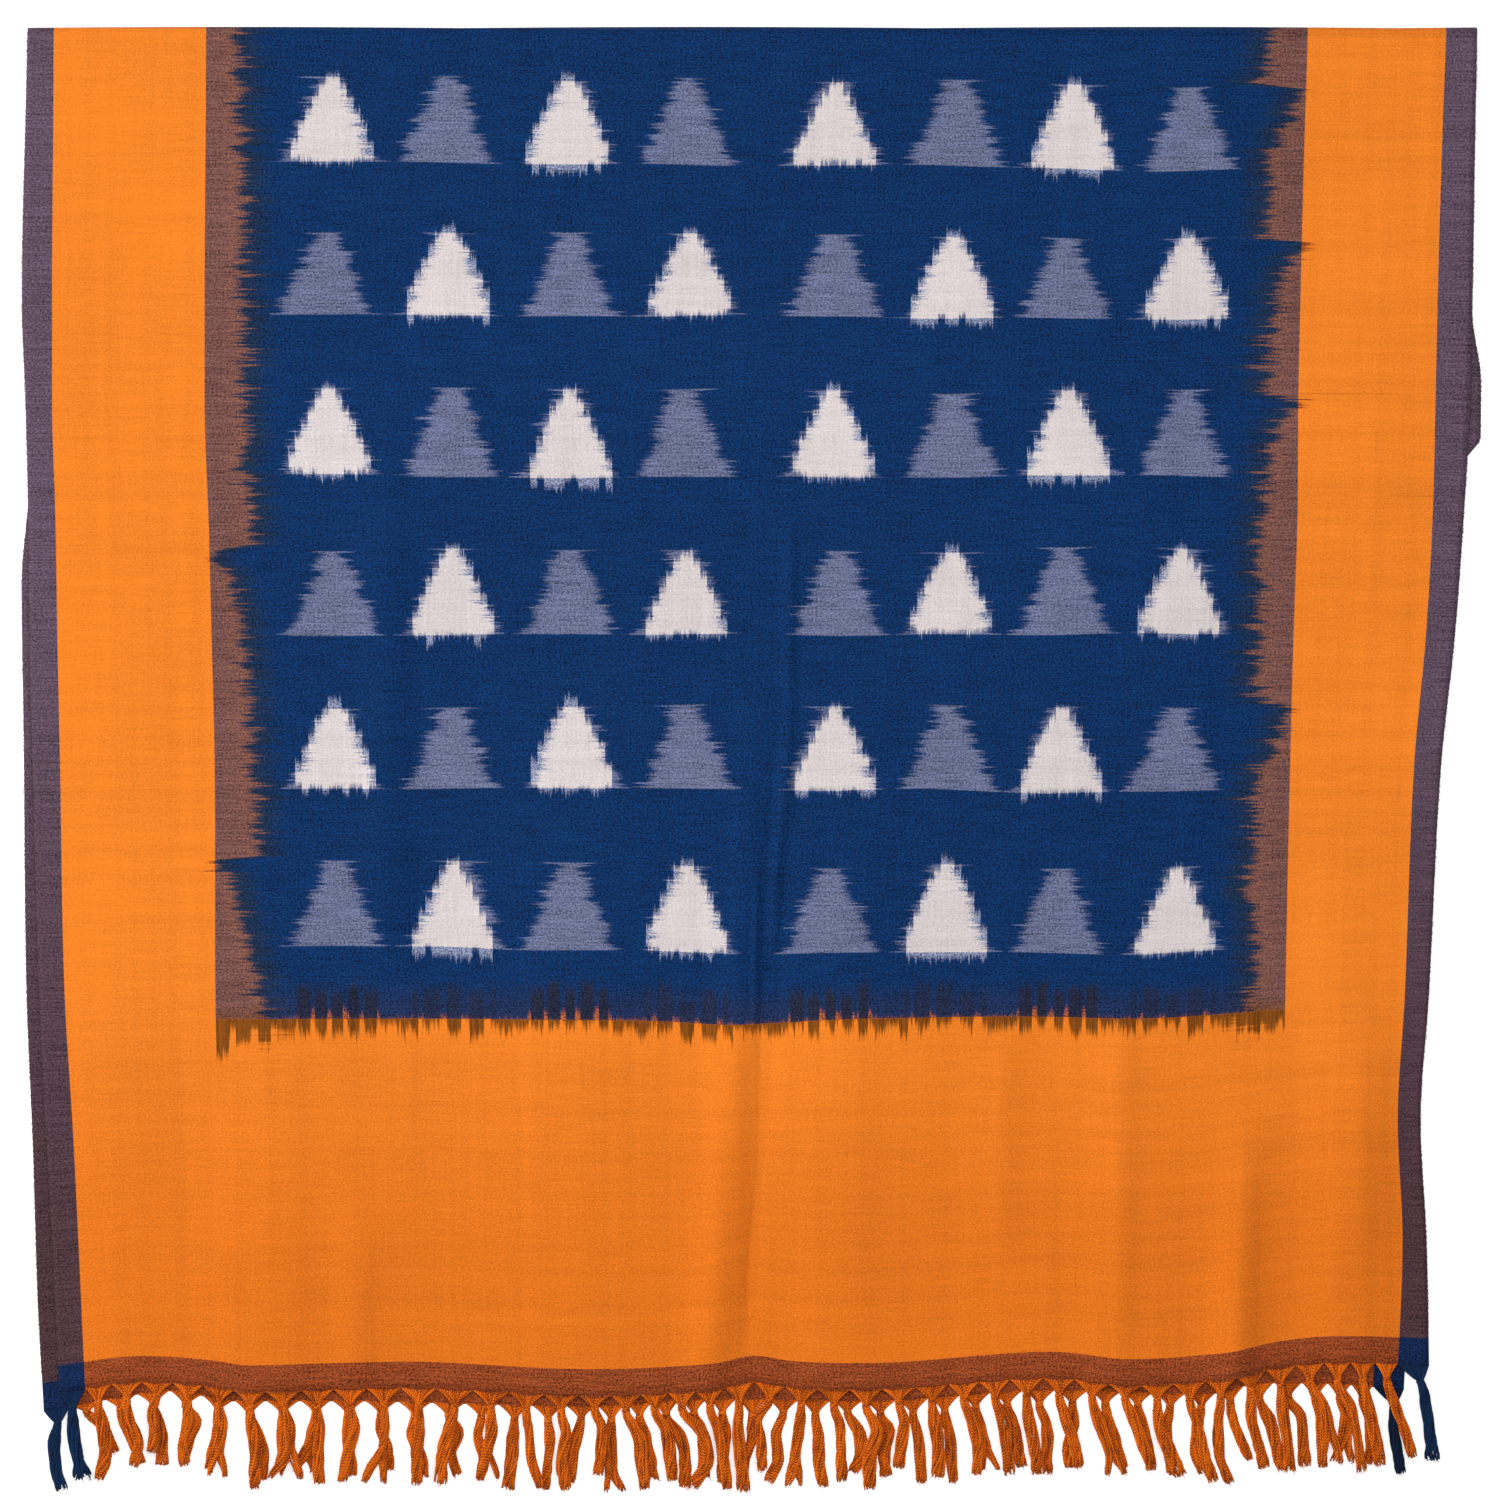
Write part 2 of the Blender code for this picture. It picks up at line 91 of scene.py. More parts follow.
backEdges = np.array([
    # below,  left,   selvedge, field,  field,  selvedge, right
    (0.000, -0.5596, -0.5394, -0.4216, 0.4309, 0.5370, 0.5610),
    (0.020, -0.5596, -0.5394, -0.4216, 0.4300, 0.5368, 0.5608),
    (0.180, -0.5606, -0.5400, -0.4226, 0.4240, 0.5330, 0.5570),
    (0.227, -0.5600, -0.5396, -0.4220, 0.4225, 0.5350, 0.5590),
    (0.273, -0.5596, -0.5394, -0.4216, 0.4210, 0.5400, 0.5656),
    (0.319, -0.5594, -0.5392, -0.4214, 0.4200, 0.5400, 0.5652),
    (0.331, -0.5592, -0.5390, -0.4212, 0.4200, 0.5290, 0.5530),
    (0.366, -0.5598, -0.5398, -0.4220, 0.4190, 0.5210, 0.5450),
    (0.428, -0.5650, -0.5450, -0.4260, 0.4160, 0.5150, 0.5390),
    (0.552, -0.5634, -0.5434, -0.4250, 0.4080, 0.5040, 0.5280),
    (0.753, -0.5611, -0.5411, -0.4240, 0.3990, 0.4930, 0.5170),
    (0.862, -0.5565, -0.5365, -0.4210, 0.3940, 0.4870, 0.5110),
    (0.986, -0.5526, -0.5326, -0.4180, 0.3920, 0.4850, 0.5090),
    (1.0726, -0.5479, -0.5279, -0.4160, 0.3890, 0.4810, 0.5050),
])
backSlide = np.array([  # how far the back half's warp has slid to the right at its hem
    (0.020, 0.0000),
    (0.045, 0.0062),
    (0.300, 0.0062),
    (0.380, 0.0010),
    (0.600, 0.0005),
    (0.800, 0.0030),
    (0.950, 0.0060),
    (1.050, 0.0030),
    (1.097, 0.0000),
])
frontHem = np.array([  # x and lift above the lowest point
    (-0.535, 0.0023), (-0.472, 0.0100), (-0.411, 0.0060), (-0.391, 0.0030), (-0.270, 0.0054),
    (-0.129, 0.0000), (-0.028, 0.0046), (0.002, 0.0100), (0.032, 0.0060), (0.092, 0.0046),
    (0.233, 0.0130), (0.294, 0.0077), (0.354, 0.0110), (0.415, 0.0220), (0.455, 0.0256),
    (0.526, 0.0233),
])
backHem = np.array([
    (-0.548, 0.0000), (-0.500, 0.0093), (-0.446, 0.0163), (-0.402, 0.0085), (-0.322, 0.0085),
    (-0.129, 0.0046), (-0.028, 0.0100), (0.092, 0.0085), (0.233, 0.0170), (0.354, 0.0140),
    (0.397, 0.0225), (0.463, 0.0210), (0.505, 0.0170),
])
weftSlant = np.array([
    # woven, below the fold at the left, and at the right
    (0.0000, 0.0000, 0.0093),
    (0.1023, 0.1023, 0.1116),
    (0.2244, 0.2212, 0.2271),
    (0.3465, 0.3457, 0.3486),
    (0.4686, 0.4698, 0.4702),
    (0.5907, 0.5896, 0.5906),
    (0.7128, 0.7110, 0.7112),
    (0.7680, 0.7688, 0.7556),
    (1.0340, 1.0346, 1.0129),
    (1.0560, 1.0560, 1.0343),
])
broadFolds = [
    # x,      below,  x,      below,  width,  height
    (-0.497, 0.300, -0.480, 1.060, 0.035, 0.0024),
    (-0.365, 0.620, -0.380, 1.100, 0.042, 0.0046),
    (-0.150, 0.500, -0.110, 1.100, 0.056, 0.0038),
    (0.034, 0.430, -0.004, 1.040, 0.010, -0.0022),
    (0.012, 0.700, -0.026, 1.060, 0.026, 0.0022),
    (0.078, 0.560, 0.070, 1.100, 0.038, 0.0042),
    (0.290, 0.680, 0.298, 1.100, 0.034, 0.0036),
    (0.368, 0.800, 0.380, 1.100, 0.021, 0.0048),
    (0.452, 0.560, 0.462, 1.060, 0.026, 0.0036),
]
creases = [  # of the cloth alone
    # x,      below,  x,      below,  width,  height, fades in over, and out
    (-0.283, 0.300, -0.284, 0.760, 0.018, 0.0050, 0.120, 0.080),
    (0.0310, 0.330, 0.0282, 0.640, 0.0055, 0.0026, 0.120, 0.060),
    (0.0290, 0.520, 0.0145, 0.740, 0.0050, 0.0038, 0.080, 0.050),
    (0.0050, 0.640, 0.0025, 0.790, 0.0030, 0.0018, 0.050, 0.040),
    (0.0130, 0.730, 0.0054, 0.930, 0.0026, -0.0009, 0.050, 0.050),
    (0.0058, 0.880, -0.0046, 1.000, 0.0026, -0.0009, 0.050, 0.040),
    (0.0085, 0.450, -0.0352, 1.080, 0.015, 0.0040, 0.260, 0.030),
    (0.193, 0.760, 0.190, 0.980, 0.016, 0.0026, 0.060, 0.060),
    (0.286, 0.740, 0.283, 1.050, 0.014, 0.0026, 0.060, 0.060),
    (-0.301, 0.880, -0.303, 1.080, 0.015, 0.0030, 0.080, 0.050),
    (0.350, 0.450, 0.340, 0.660, 0.012, 0.0020, 0.060, 0.060),
    (0.388, 0.820, 0.372, 1.070, 0.014, 0.0036, 0.080, 0.030),
    (0.478, 0.740, 0.470, 0.980, 0.020, 0.0032, 0.080, 0.060),
]
broadFade = (0.220, 0.040)
softFolds = [(*fold, *broadFade) for fold in broadFolds] + creases
weftDips = [  # where the weft at the field's lower end sags below a line between the selvedges
    # station, reach, depth
    (0.650, 0.350, 0.0050),
    (0.556, 0.055, 0.0045),
    (0.880, 0.090, 0.0042),
]
fringeValues = {
    "floorClearance": 0.0003,
    "overBackCloth": 0.0022,
    "overBackTassel": 0.0049,
    "space": 0.0006,
}
tasselRings = np.array([
    # share of the length, width, height of the solid tassel
    (0.085, 0.0110, 0.0016),
    (0.155, 0.0066, 0.0036),
    (0.225, 0.0070, 0.0036),
    (0.400, 0.0092, 0.0042),
    (0.700, 0.0100, 0.0042),
    (1.000, 0.0088, 0.0032),
])
bendShares = np.array([0.0, 0.155, 0.400, 0.700, 1.0])
# How each tassel lies, in columns and rows of the photo that were read on zoomed crops: its columns
# at the hem, at 0.4 and 0.7 of its length and at its end, and the row of its end
photoPixel = 0.000775  # metres
photoMiddle, photoFold = 751, 28  # middle and top of the fold
frontReadings = np.array([
    # root, upper, lower, end, foot
    (99, 104, 107, 100, 1480),
    (127, 131, 140, 135, 1466),
    (158, 153, 156, 153, 1452),
    (189, 189, 184, 186, 1466),
    (219, 223, 219, 218, 1475),
    (250, 253, 256, 256, 1489),
    (284, 290, 291, 286, 1478),
    (318, 320, 319, 320, 1483),
    (350, 355, 348, 343, 1481),
    (384, 386, 380, 374, 1482),
    (419, 420, 417, 417, 1484),
    (455, 450, 443, 441, 1484),
    (491, 492, 488, 489, 1478),
    (527, 529, 532, 541, 1486),
    (562, 566, 562, 567, 1488),
    (596, 602, 601, 598, 1474),
    (627, 638, 642, 645, 1487),
    (655, 666, 670, 673, 1478),
    (682, 701, 708, 692, 1484),
    (710, 718, 724, 728, 1488),
    (739, 738, 741, 744, 1491),
    (769, 757, 761, 762, 1470),
    (801, 799, 795, 794, 1486),
    (834, 840, 841, 842, 1480),
    (866, 877, 869, 870, 1489),
    (899, 904, 901, 898, 1467),
    (932, 935, 938, 938, 1476),
    (964, 972, 977, 977, 1474),
    (995, 1003, 1006, 1009, 1475),
    (1026, 1028, 1034, 1038, 1474),
    (1058, 1064, 1073, 1079, 1467),
    (1092, 1098, 1109, 1116, 1474),
    (1125, 1132, 1141, 1150, 1462),
    (1157, 1158, 1168, 1180, 1474),
    (1190, 1196, 1203, 1213, 1480),
    (1220, 1218, 1219, 1229, 1483),
    (1250, 1250, 1257, 1264, 1468),
    (1280, 1282, 1286, 1289, 1471),
    (1309, 1321, 1327, 1331, 1464),
    (1336, 1349, 1356, 1360, 1471),
    (1362, 1366, 1373, 1378, 1465),
    (1385, 1392, 1402, 1411, 1457),
])
backReadings = np.array([
    # upper, lower, end, foot
    (101, 109, 115, 1453),
    (127, 135, 143, 1464),
    (160, 164, 163, 1466),
    (197, 190, 184, 1462),
    (218, 214, 210, 1470),
    (259, 264, 262, 1480),
    (283, 284, 278, 1474),
    (314, 308, 304, 1472),
    (348, 350, 353, 1476),
    (382, 388, 390, 1470),
    (414, 420, 424, 1478),
    (458, 452, 458, 1475),
    (478, 484, 480, 1480),
    (513, 511, 508, 1489),
    (550, 548, 545, 1489),
    (577, 573, 572, 1482),
    (610, 611, 615, 1491),
    (644, 650, 653, 1480),
    (680, 685, 685, 1488),
    (702, 703, 704, 1478),
    (725, 723, 722, 1482),
    (752, 744, 741, 1490),
    (776, 778, 768, 1482),
    (818, 819, 823, 1487),
    (858, 861, 853, 1472),
    (888, 884, 886, 1476),
    (917, 920, 921, 1482),
    (949, 951, 953, 1482),
    (980, 985, 990, 1470),
    (1012, 1016, 1022, 1468),
    (1046, 1047, 1047, 1474),
    (1073, 1068, 1070, 1468),
    (1109, 1116, 1124, 1468),
    (1142, 1147, 1151, 1470),
    (1166, 1167, 1172, 1474),
    (1197, 1195, 1204, 1473),
    (1232, 1240, 1249, 1460),
    (1268, 1275, 1281, 1470),
    (1300, 1302, 1304, 1467),
    (1320, 1320, 1322, 1468),
    (1345, 1343, 1341, 1462),
    (1368, 1370, 1366, 1464),
])
cornerTassels = {
    # shifts to the right at the knot, at two bends and at the end, and the length
    "front_tassel_left": (0.0005, 0.0006, 0.0032, 0.0085, 0.068),
    "front_tassel_right": (0.0050, 0.0096, 0.0126, 0.0150, 0.074),
    "back_tassel_left": (0.0010, -0.0016, -0.0008, 0.0040, 0.062),
    "back_tassel_right": (0.0040, 0.0038, 0.0062, 0.0100, 0.066),
}
halfTables = {
    "front": (frontEdges, frontHem, clothValues["frontLength"]),
    "back": (backEdges, backHem, clothValues["backLength"]),
}


def ease(x):  # rises smoothly from 0 to 1
    x = np.clip(x, 0.0, 1.0)
    return x * x * (3.0 - 2.0 * x)


def smoothRead(x, known, values):
    # Cubic through the table's points: each slope is the mean of its neighbours', and 0 where they turn
    x = np.clip(x, known[0], known[-1])
    step = np.diff(known)
    rise = np.diff(values) / step
    slope = np.concatenate([[rise[0]], (rise[1:] + rise[:-1]) / 2, [rise[-1]]])
    turns = np.concatenate([[False], rise[1:] * rise[:-1] <= 0, [False]])
    slope[turns] = 0.0
    steepest = 3.0 * np.minimum(np.abs(np.append(rise, rise[-1])), np.abs(np.insert(rise, 0, rise[0])))
    slope = np.clip(slope, -steepest, steepest)
    i = np.clip(np.searchsorted(known, x, side="right") - 1, 0, len(step) - 1)
    s = (x - known[i]) / step[i]
    return (
        values[i] * (1 + 2 * s) * (1 - s) ** 2 + values[i + 1] * s * s * (3 - 2 * s)
        + step[i] * s * (1 - s) * (slope[i] * (1 - s) - slope[i + 1] * s)
    )


def across(half, station, below):
    # X between the stripes' edges: each edge is read down its table, and a warp thread keeps its share
    table = halfTables[half][0]
    edges = np.stack([smoothRead(below, table[:, 0], table[:, k]) for k in range(1, table.shape[1])], -1)
    stripes = clothValues["stripes"]
    i = np.clip(np.searchsorted(stripes, station, side="right") - 1, 0, len(stripes) - 2)
    share = (station - stripes[i]) / (stripes[i + 1] - stripes[i])
    left = np.take_along_axis(edges, i[..., None], -1)[..., 0]
    right = np.take_along_axis(edges, i[..., None] + 1, -1)[..., 0]
    x = left + (right - left) * share
    if half == "back":
        x = x + np.interp(station, *backSlide.T) * (below / clothValues["backLength"]) ** 3
    return x


def hemLength(half, station):
    _, hem, length = halfTables[half]
    x = across(half, station, np.full_like(station, length))
    return length - smoothRead(x, *hem.T)


def foldHeight(x, below):
    # Sum of soft ridges and troughs: a bell across each axis, faded in and out along it
    height = np.zeros_like(x)
    for startX, start, endX, end, width, rise, fadeIn, fadeOut in softFolds:
        axisX = startX + (endX - startX) * (below - start) / (end - start)
        fade = ease(np.clip((below - start) / fadeIn, 0, 1) * np.clip((end - below) / fadeOut, 0, 1))
        height += rise * fade * np.exp(-(((x - axisX) / width) ** 2))
    return height


def clothPoint(station, reach):
    # reach is the distance from the fold's outer line, positive down the front and negative down the back.
    # Within the fold's radius it turns on a half circle; below that each half lies at its own level.
    v = clothValues
    radius = v["foldRadius"]
    angle = np.clip(reach / radius, -1, 1) * math.pi / 2
    below = np.maximum(np.abs(reach), radius)
    share = 0.5 + angle / math.pi
    frontX, backX = across("front", station, below), across("back", station, below)
    x = np.where(reach > 0, frontX, backX)
    inFold = np.abs(reach) < radius
    x = np.where(inFold, backX + (frontX - backX) * share, x)
    top = v["wallMiddle"] + 2 * radius
    level = v["frontLevel"] + (top - v["frontLevel"]) * np.exp(-(((below - radius) / v["foldEase"]) ** 2))
    level = np.maximum(level + foldHeight(x, below), v["frontLowest"])
    z = np.where(reach > 0, level, v["wallMiddle"])
    z = np.where(inFold, v["wallMiddle"] + radius * (1 + np.sin(angle)), z)
    y = v["foldY"] - np.where(inFold, radius - radius * np.cos(angle), below)
    return np.stack([x, y, z], -1)


def photoX(columns):
    return (columns - photoMiddle) * photoPixel


def tasselStations():
    # Two tassels part half way between their roots in the photo
    stripes = clothValues["stripes"]
    roots = frontReadings[:, 0]
    cusps = np.interp(photoX((roots[1:] + roots[:-1]) / 2), frontEdges[-1, 1:], stripes).round(3)
    return np.concatenate([[0.0, stripes[1]], cusps, [stripes[4], stripes[-1]]])


def tasselLies(half):
    # Each tassel's shifts to the right from its root, and its length, to a tenth of a millimetre
    edges, hem, length = halfTables[half]
    stations = tasselStations()[1:-1]
    cusps = np.interp(stations, clothValues["stripes"], edges[-1, 1:])
    if half == "back":
        cusps = cusps + np.interp(stations, *backSlide.T)
    roots = (cusps[1:] + cusps[:-1]) / 2
    hems = length - np.interp(roots, *hem.T)
    *columns, foot = (frontReadings if half == "front" else backReadings)[:, -4:].T
    shifts = [photoX(column) - roots for column in columns]
    return np.stack([*shifts, (foot - photoFold) * photoPixel - hems], -1).round(4)


def warpReach(station, woven):
    # Where a weft thread lies below the fold: read at both selvedges, blended across, sagging towards
    # the field's lower end, and carried to the hem. Each knot pulls the last rows down between two cusps.
    v = clothValues
    share = station / v["stripes"][-1]
    left = smoothRead(woven, weftSlant[:, 0], weftSlant[:, 1])
    right = smoothRead(woven, weftSlant[:, 0], weftSlant[:, 2])
    front = left + (right - left) * share
    atHem = weftSlant[-1, 1] + (weftSlant[-1, 2] - weftSlant[-1, 1]) * share
    front += (hemLength("front", station) - atHem) * ease((woven - 0.70) / 0.33)
    sag = sum(depth * np.exp(-(((station - middle) / reach) ** 2)) for middle, reach, depth in weftDips)
    front += sag * ease((woven - 0.55) / 0.21) * (1 - ease((woven - 0.80) / 0.20))
    skew = weftSlant[0, 2] * share
    toHem = v["backWarp"] - skew - hemLength("back", station)
    back = woven + skew + toHem * np.abs(woven / v["backWarp"]) ** 3
    reach = np.where(woven >= 0, front, back)
    parts = tasselStations()
    i = np.clip(np.searchsorted(parts, station, side="right") - 1, 0, len(parts) - 2)
    phase = (station - parts[i]) / (parts[i + 1] - parts[i])
    high = v["scallopHigh"]
    nearHem = ease((woven - v["frontWarp"] + high) / high) - ease((-woven - v["backWarp"] + high) / high)
    return reach + v["scallop"] * np.sin(math.pi * phase) * nearHem


# The whole part was moved so that the middle of its box is at the origin; the solid cloth shows by how much
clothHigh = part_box("shawl_cloth")[1]
bulge = backEdges[np.argmax(backEdges[:, 6])]
foldShift = clothHigh.y - clothValues["foldY"] - clothValues["foldTopMargin"]
partShift = np.array([clothHigh.x - bulge[6], foldShift, 0.0])


def addObject(name, data):
    added = bpy.data.objects.new(name, data)
    bpy.context.scene.collection.objects.link(added)
    return added


def newMesh(name, points, faces):
    mesh = bpy.data.meshes.new(name)
    mesh.from_pydata((points + partShift).tolist(), [], faces)
    mesh.polygons.foreach_set("use_smooth", np.full(len(mesh.polygons), True))
    mesh.update()
    return addObject(name, mesh)


def addUv(piece, name, uv):  # uv has one row for each vertex
    mesh = piece.data
    corners = np.empty(len(mesh.loops), dtype=np.int32)
    mesh.loops.foreach_get("vertex_index", corners)
    mesh.uv_layers.new(name=name).data.foreach_set("uv", uv[corners].astype(np.float32).ravel())


def addYarnData(piece, uv, tint):
    addUv(piece, "yarn", uv)
    piece.data.attributes.new("tint", "FLOAT", "POINT").data.foreach_set("value", tint)


def makeCloth():
    v = clothValues
    parts = tasselStations()
    stations = []
    for left, right in zip(parts, parts[1:]):
        fine = v["creaseStations"][0] < (left + right) / 2 < v["creaseStations"][1]
        count = v["facesAtCrease" if fine else "facesPerTassel"]
        stations.append(np.linspace(left, right, count, endpoint=False))
    stations = np.append(np.concatenate(stations), parts[-1])
    foldStart, foldEnd = v["nearFold"]
    front = v["frontWarp"] - (v["frontWarp"] - foldStart) * np.linspace(0, 1, v["frontRows"] + 1)
    overFold = np.linspace(foldStart, foldEnd, v["foldRows"] + 1)[1:]
    bends = backEdges[2:-1, 0]
    evenly = np.linspace(-foldEnd, v["backWarp"], v["backRows"] + 1)[1:]
    atHem = v["backWarp"] - np.arange(1, v["hemRows"] + 1) * v["hemRowHigh"]
    back = np.unique(np.concatenate([evenly, atHem, bends, (bends[1:] + bends[:-1]) / 2]))
    woven = np.concatenate([front, overFold, -back])
    station, warp = np.meshgrid(stations, woven)
    points = clothPoint(station, warpReach(station, warp))
    rows, columns = station.shape
    corner = (np.arange(rows - 1)[:, None] * columns + np.arange(columns - 1)).ravel()
    faces = np.stack([corner, corner + 1, corner + columns + 1, corner + columns], -1)
    cloth = newMesh("shawlCloth", points.reshape(-1, 3), faces.tolist())
    addUv(cloth, "weave", np.stack([station.ravel(), warp.ravel()], -1))
    wall = cloth.modifiers.new("wall", "SOLIDIFY")
    wall.thickness = v["thickness"]
    wall.offset = 0.0
    return cloth


cloth = makeCloth()
print("cloth woven:", len(cloth.data.polygons), "faces a side")


# Tassels: where each one lies comes from the same values as its solid
def hemLine(half, stations):
    woven = clothValues["frontWarp"] if half == "front" else -clothValues["backWarp"]
    return clothPoint(stations, warpReach(stations, np.full_like(stations, woven)))


def tasselPlaces(half, corner=None):
    # The two cusps of each tassel of a hem; and its shifts at the knot, two bends and the end, and length
    stations = tasselStations()
    if corner:
        pair = stations[:2] if corner.endswith("left") else stations[-2:]
        return pair[None, :], np.array([cornerTassels[corner]])
    inner = stations[1:-1]
    return np.stack([inner[:-1], inner[1:]], -1), np.insert(tasselLies(half), 0, 0.0, axis=1)


def tasselMiddles(half, pairs, shifts):
    # Middle of every solid ring: x, y and width, for each tassel
    root = hemLine(half, pairs.ravel()).reshape(-1, 2, 3).mean(axis=1)
    share, width, _ = tasselRings.T
    x = np.stack([r[0] + np.interp(share, bendShares, (0.0, *s[:4])) for r, s in zip(root, shifts)])
    y = root[:, 1:2] - share * shifts[:, 4:5]
    return x, y, np.broadcast_to(width, x.shape)


def ringLevels(half, x, y, width, below):
    # Undersides of the solid rings: the back's just above the floor, the front's on the back half's tassels
    # wherever a stretch next to the ring passes over one
    f = fringeValues
    levels = np.full(x.shape, f["floorClearance"])
    if half == "back":
        return levels
    levels[:, :2] = f["overBackCloth"]
    levels[:, 2] = f["overBackTassel"]
    for n in range(len(x)):
        for k in range(2, x.shape[1] - 1):
            share = np.linspace(0, 1, 9)
            px, py, pw = (a[n, k] + (a[n, k + 1] - a[n, k]) * share for a in (x, y, width))
            for bx, by, bw in zip(*below):
                reached = (by[0] >= py) & (py >= by[-1] - f["space"])
                gap = np.abs(px - np.interp(-py, -by, bx)) - (pw + np.interp(-py, -by, bw)) / 2
                if np.any(reached & (gap < f["space"])):
                    levels[n, k:k + 2] = f["overBackTassel"]
    return levels


def tubes(paths, radii, sides, spin=None):
    # Round tubes: at each path point a circle of the given radius in the plane across the path. spin gives
    # the direction that the circle starts from where the path isn't level.
    tangent = np.gradient(paths, axis=1)
    tangent /= np.linalg.norm(tangent, axis=-1, keepdims=True)
    start = np.broadcast_to([0.0, 0.0, 1.0], paths.shape) if spin is None else spin
    side = np.cross(tangent, start)
    side /= np.linalg.norm(side, axis=-1, keepdims=True)
    up = np.cross(side, tangent)
    turn = np.arange(sides) * 2 * math.pi / sides
    ring = np.cos(turn)[:, None] * side[:, :, None] + np.sin(turn)[:, None] * up[:, :, None]
    points = paths[:, :, None] + ring * radii[:, :, None, None]
    count, length = paths.shape[:2]
    k = np.arange(count)[:, None, None] * length * sides + np.arange(length - 1)[:, None] * sides
    a = k + np.arange(sides)
    b = k + (np.arange(sides) + 1) % sides
    walls = np.stack([a, b, b + sides, a + sides], -1).reshape(-1, 4)
    first = np.arange(count)[:, None] * length * sides
    starts = (first + np.arange(sides)[::-1]).tolist()
    ends = (first + (length - 1) * sides + np.arange(sides)).tolist()
    along = np.cumsum(np.linalg.norm(np.diff(paths, axis=1, prepend=paths[:, :1]), axis=-1), axis=1)
    uv = np.stack(np.broadcast_arrays(np.arange(sides) / sides, along[:, :, None]), -1)
    return points.reshape(-1, 3), walls.tolist() + starts + ends, uv.reshape(-1, 2)


yarnValues = {
    "knotAt": 0.155,  # share of the tassel's length
    "fanYarns": 16,
    "fanSides": 4,
    "fanRings": 8,
    "tailYarns": 24,
    "tailSides": 4,
    "tailRings": 15,
    "yarnRadius": 0.00082,
    "coilRadius": 0.00105,
    "coilRings": 16,
    "coilSides": 6,
    "knotRadius": 0.0024,
    "halfWidth": 0.0038,
    "halfHeight": 0.0012,
    "strandsAtEnd": 6,
    "floorGap": 0.0001,
    "besideCusp": 0.0005,  # where the outer warp ends of a fan start
    "rootUp": 0.0012,  # how far inside the hem they start
    "knotHalfWidth": 0.0016,
    "knotDepth": 0.0010,
    "fanWave": 0.0005,
    "coilAlong": (0.0014, -0.0016),  # from above the knot to below it
    "coilSlant": 0.0009,
    "tailWave": 0.00035,
    "endDrift": (0.0030, 0.0014, 0.0012),
    "endDrop": 0.0008,
    "endRadii": (0.00028, 0.00012),
}
forks = {  # tails that part in two: where they part, and how far each end goes to its side
    "frontTassels": {
        4: (0.62, 0.0046), 6: (0.60, 0.0098), 9: (0.45, 0.0060), 12: (0.60, 0.0054),
        22: (0.70, 0.0040), 31: (0.66, 0.0040), 38: (0.50, 0.0050),
    },
    "backTassels": {7: (0.55, 0.0050), 16: (0.72, 0.0040), 28: (0.66, 0.0045), 40: (0.60, 0.0045)},
}


def bundlePath(root, shift, levels, share):
    # Middle line of one tassel below its root, at shares of its length
    x = root[0] + smoothRead(share, bendShares, np.array([0.0, *shift[:4]]))
    y = root[1] - share * shift[4]
    rings = np.insert(tasselRings[:, 0], 0, 0.0)
    middle = np.insert(levels + tasselRings[:, 2] / 2, 0, root[2])
    return np.stack([x, y, smoothRead(share, rings, middle)], -1)


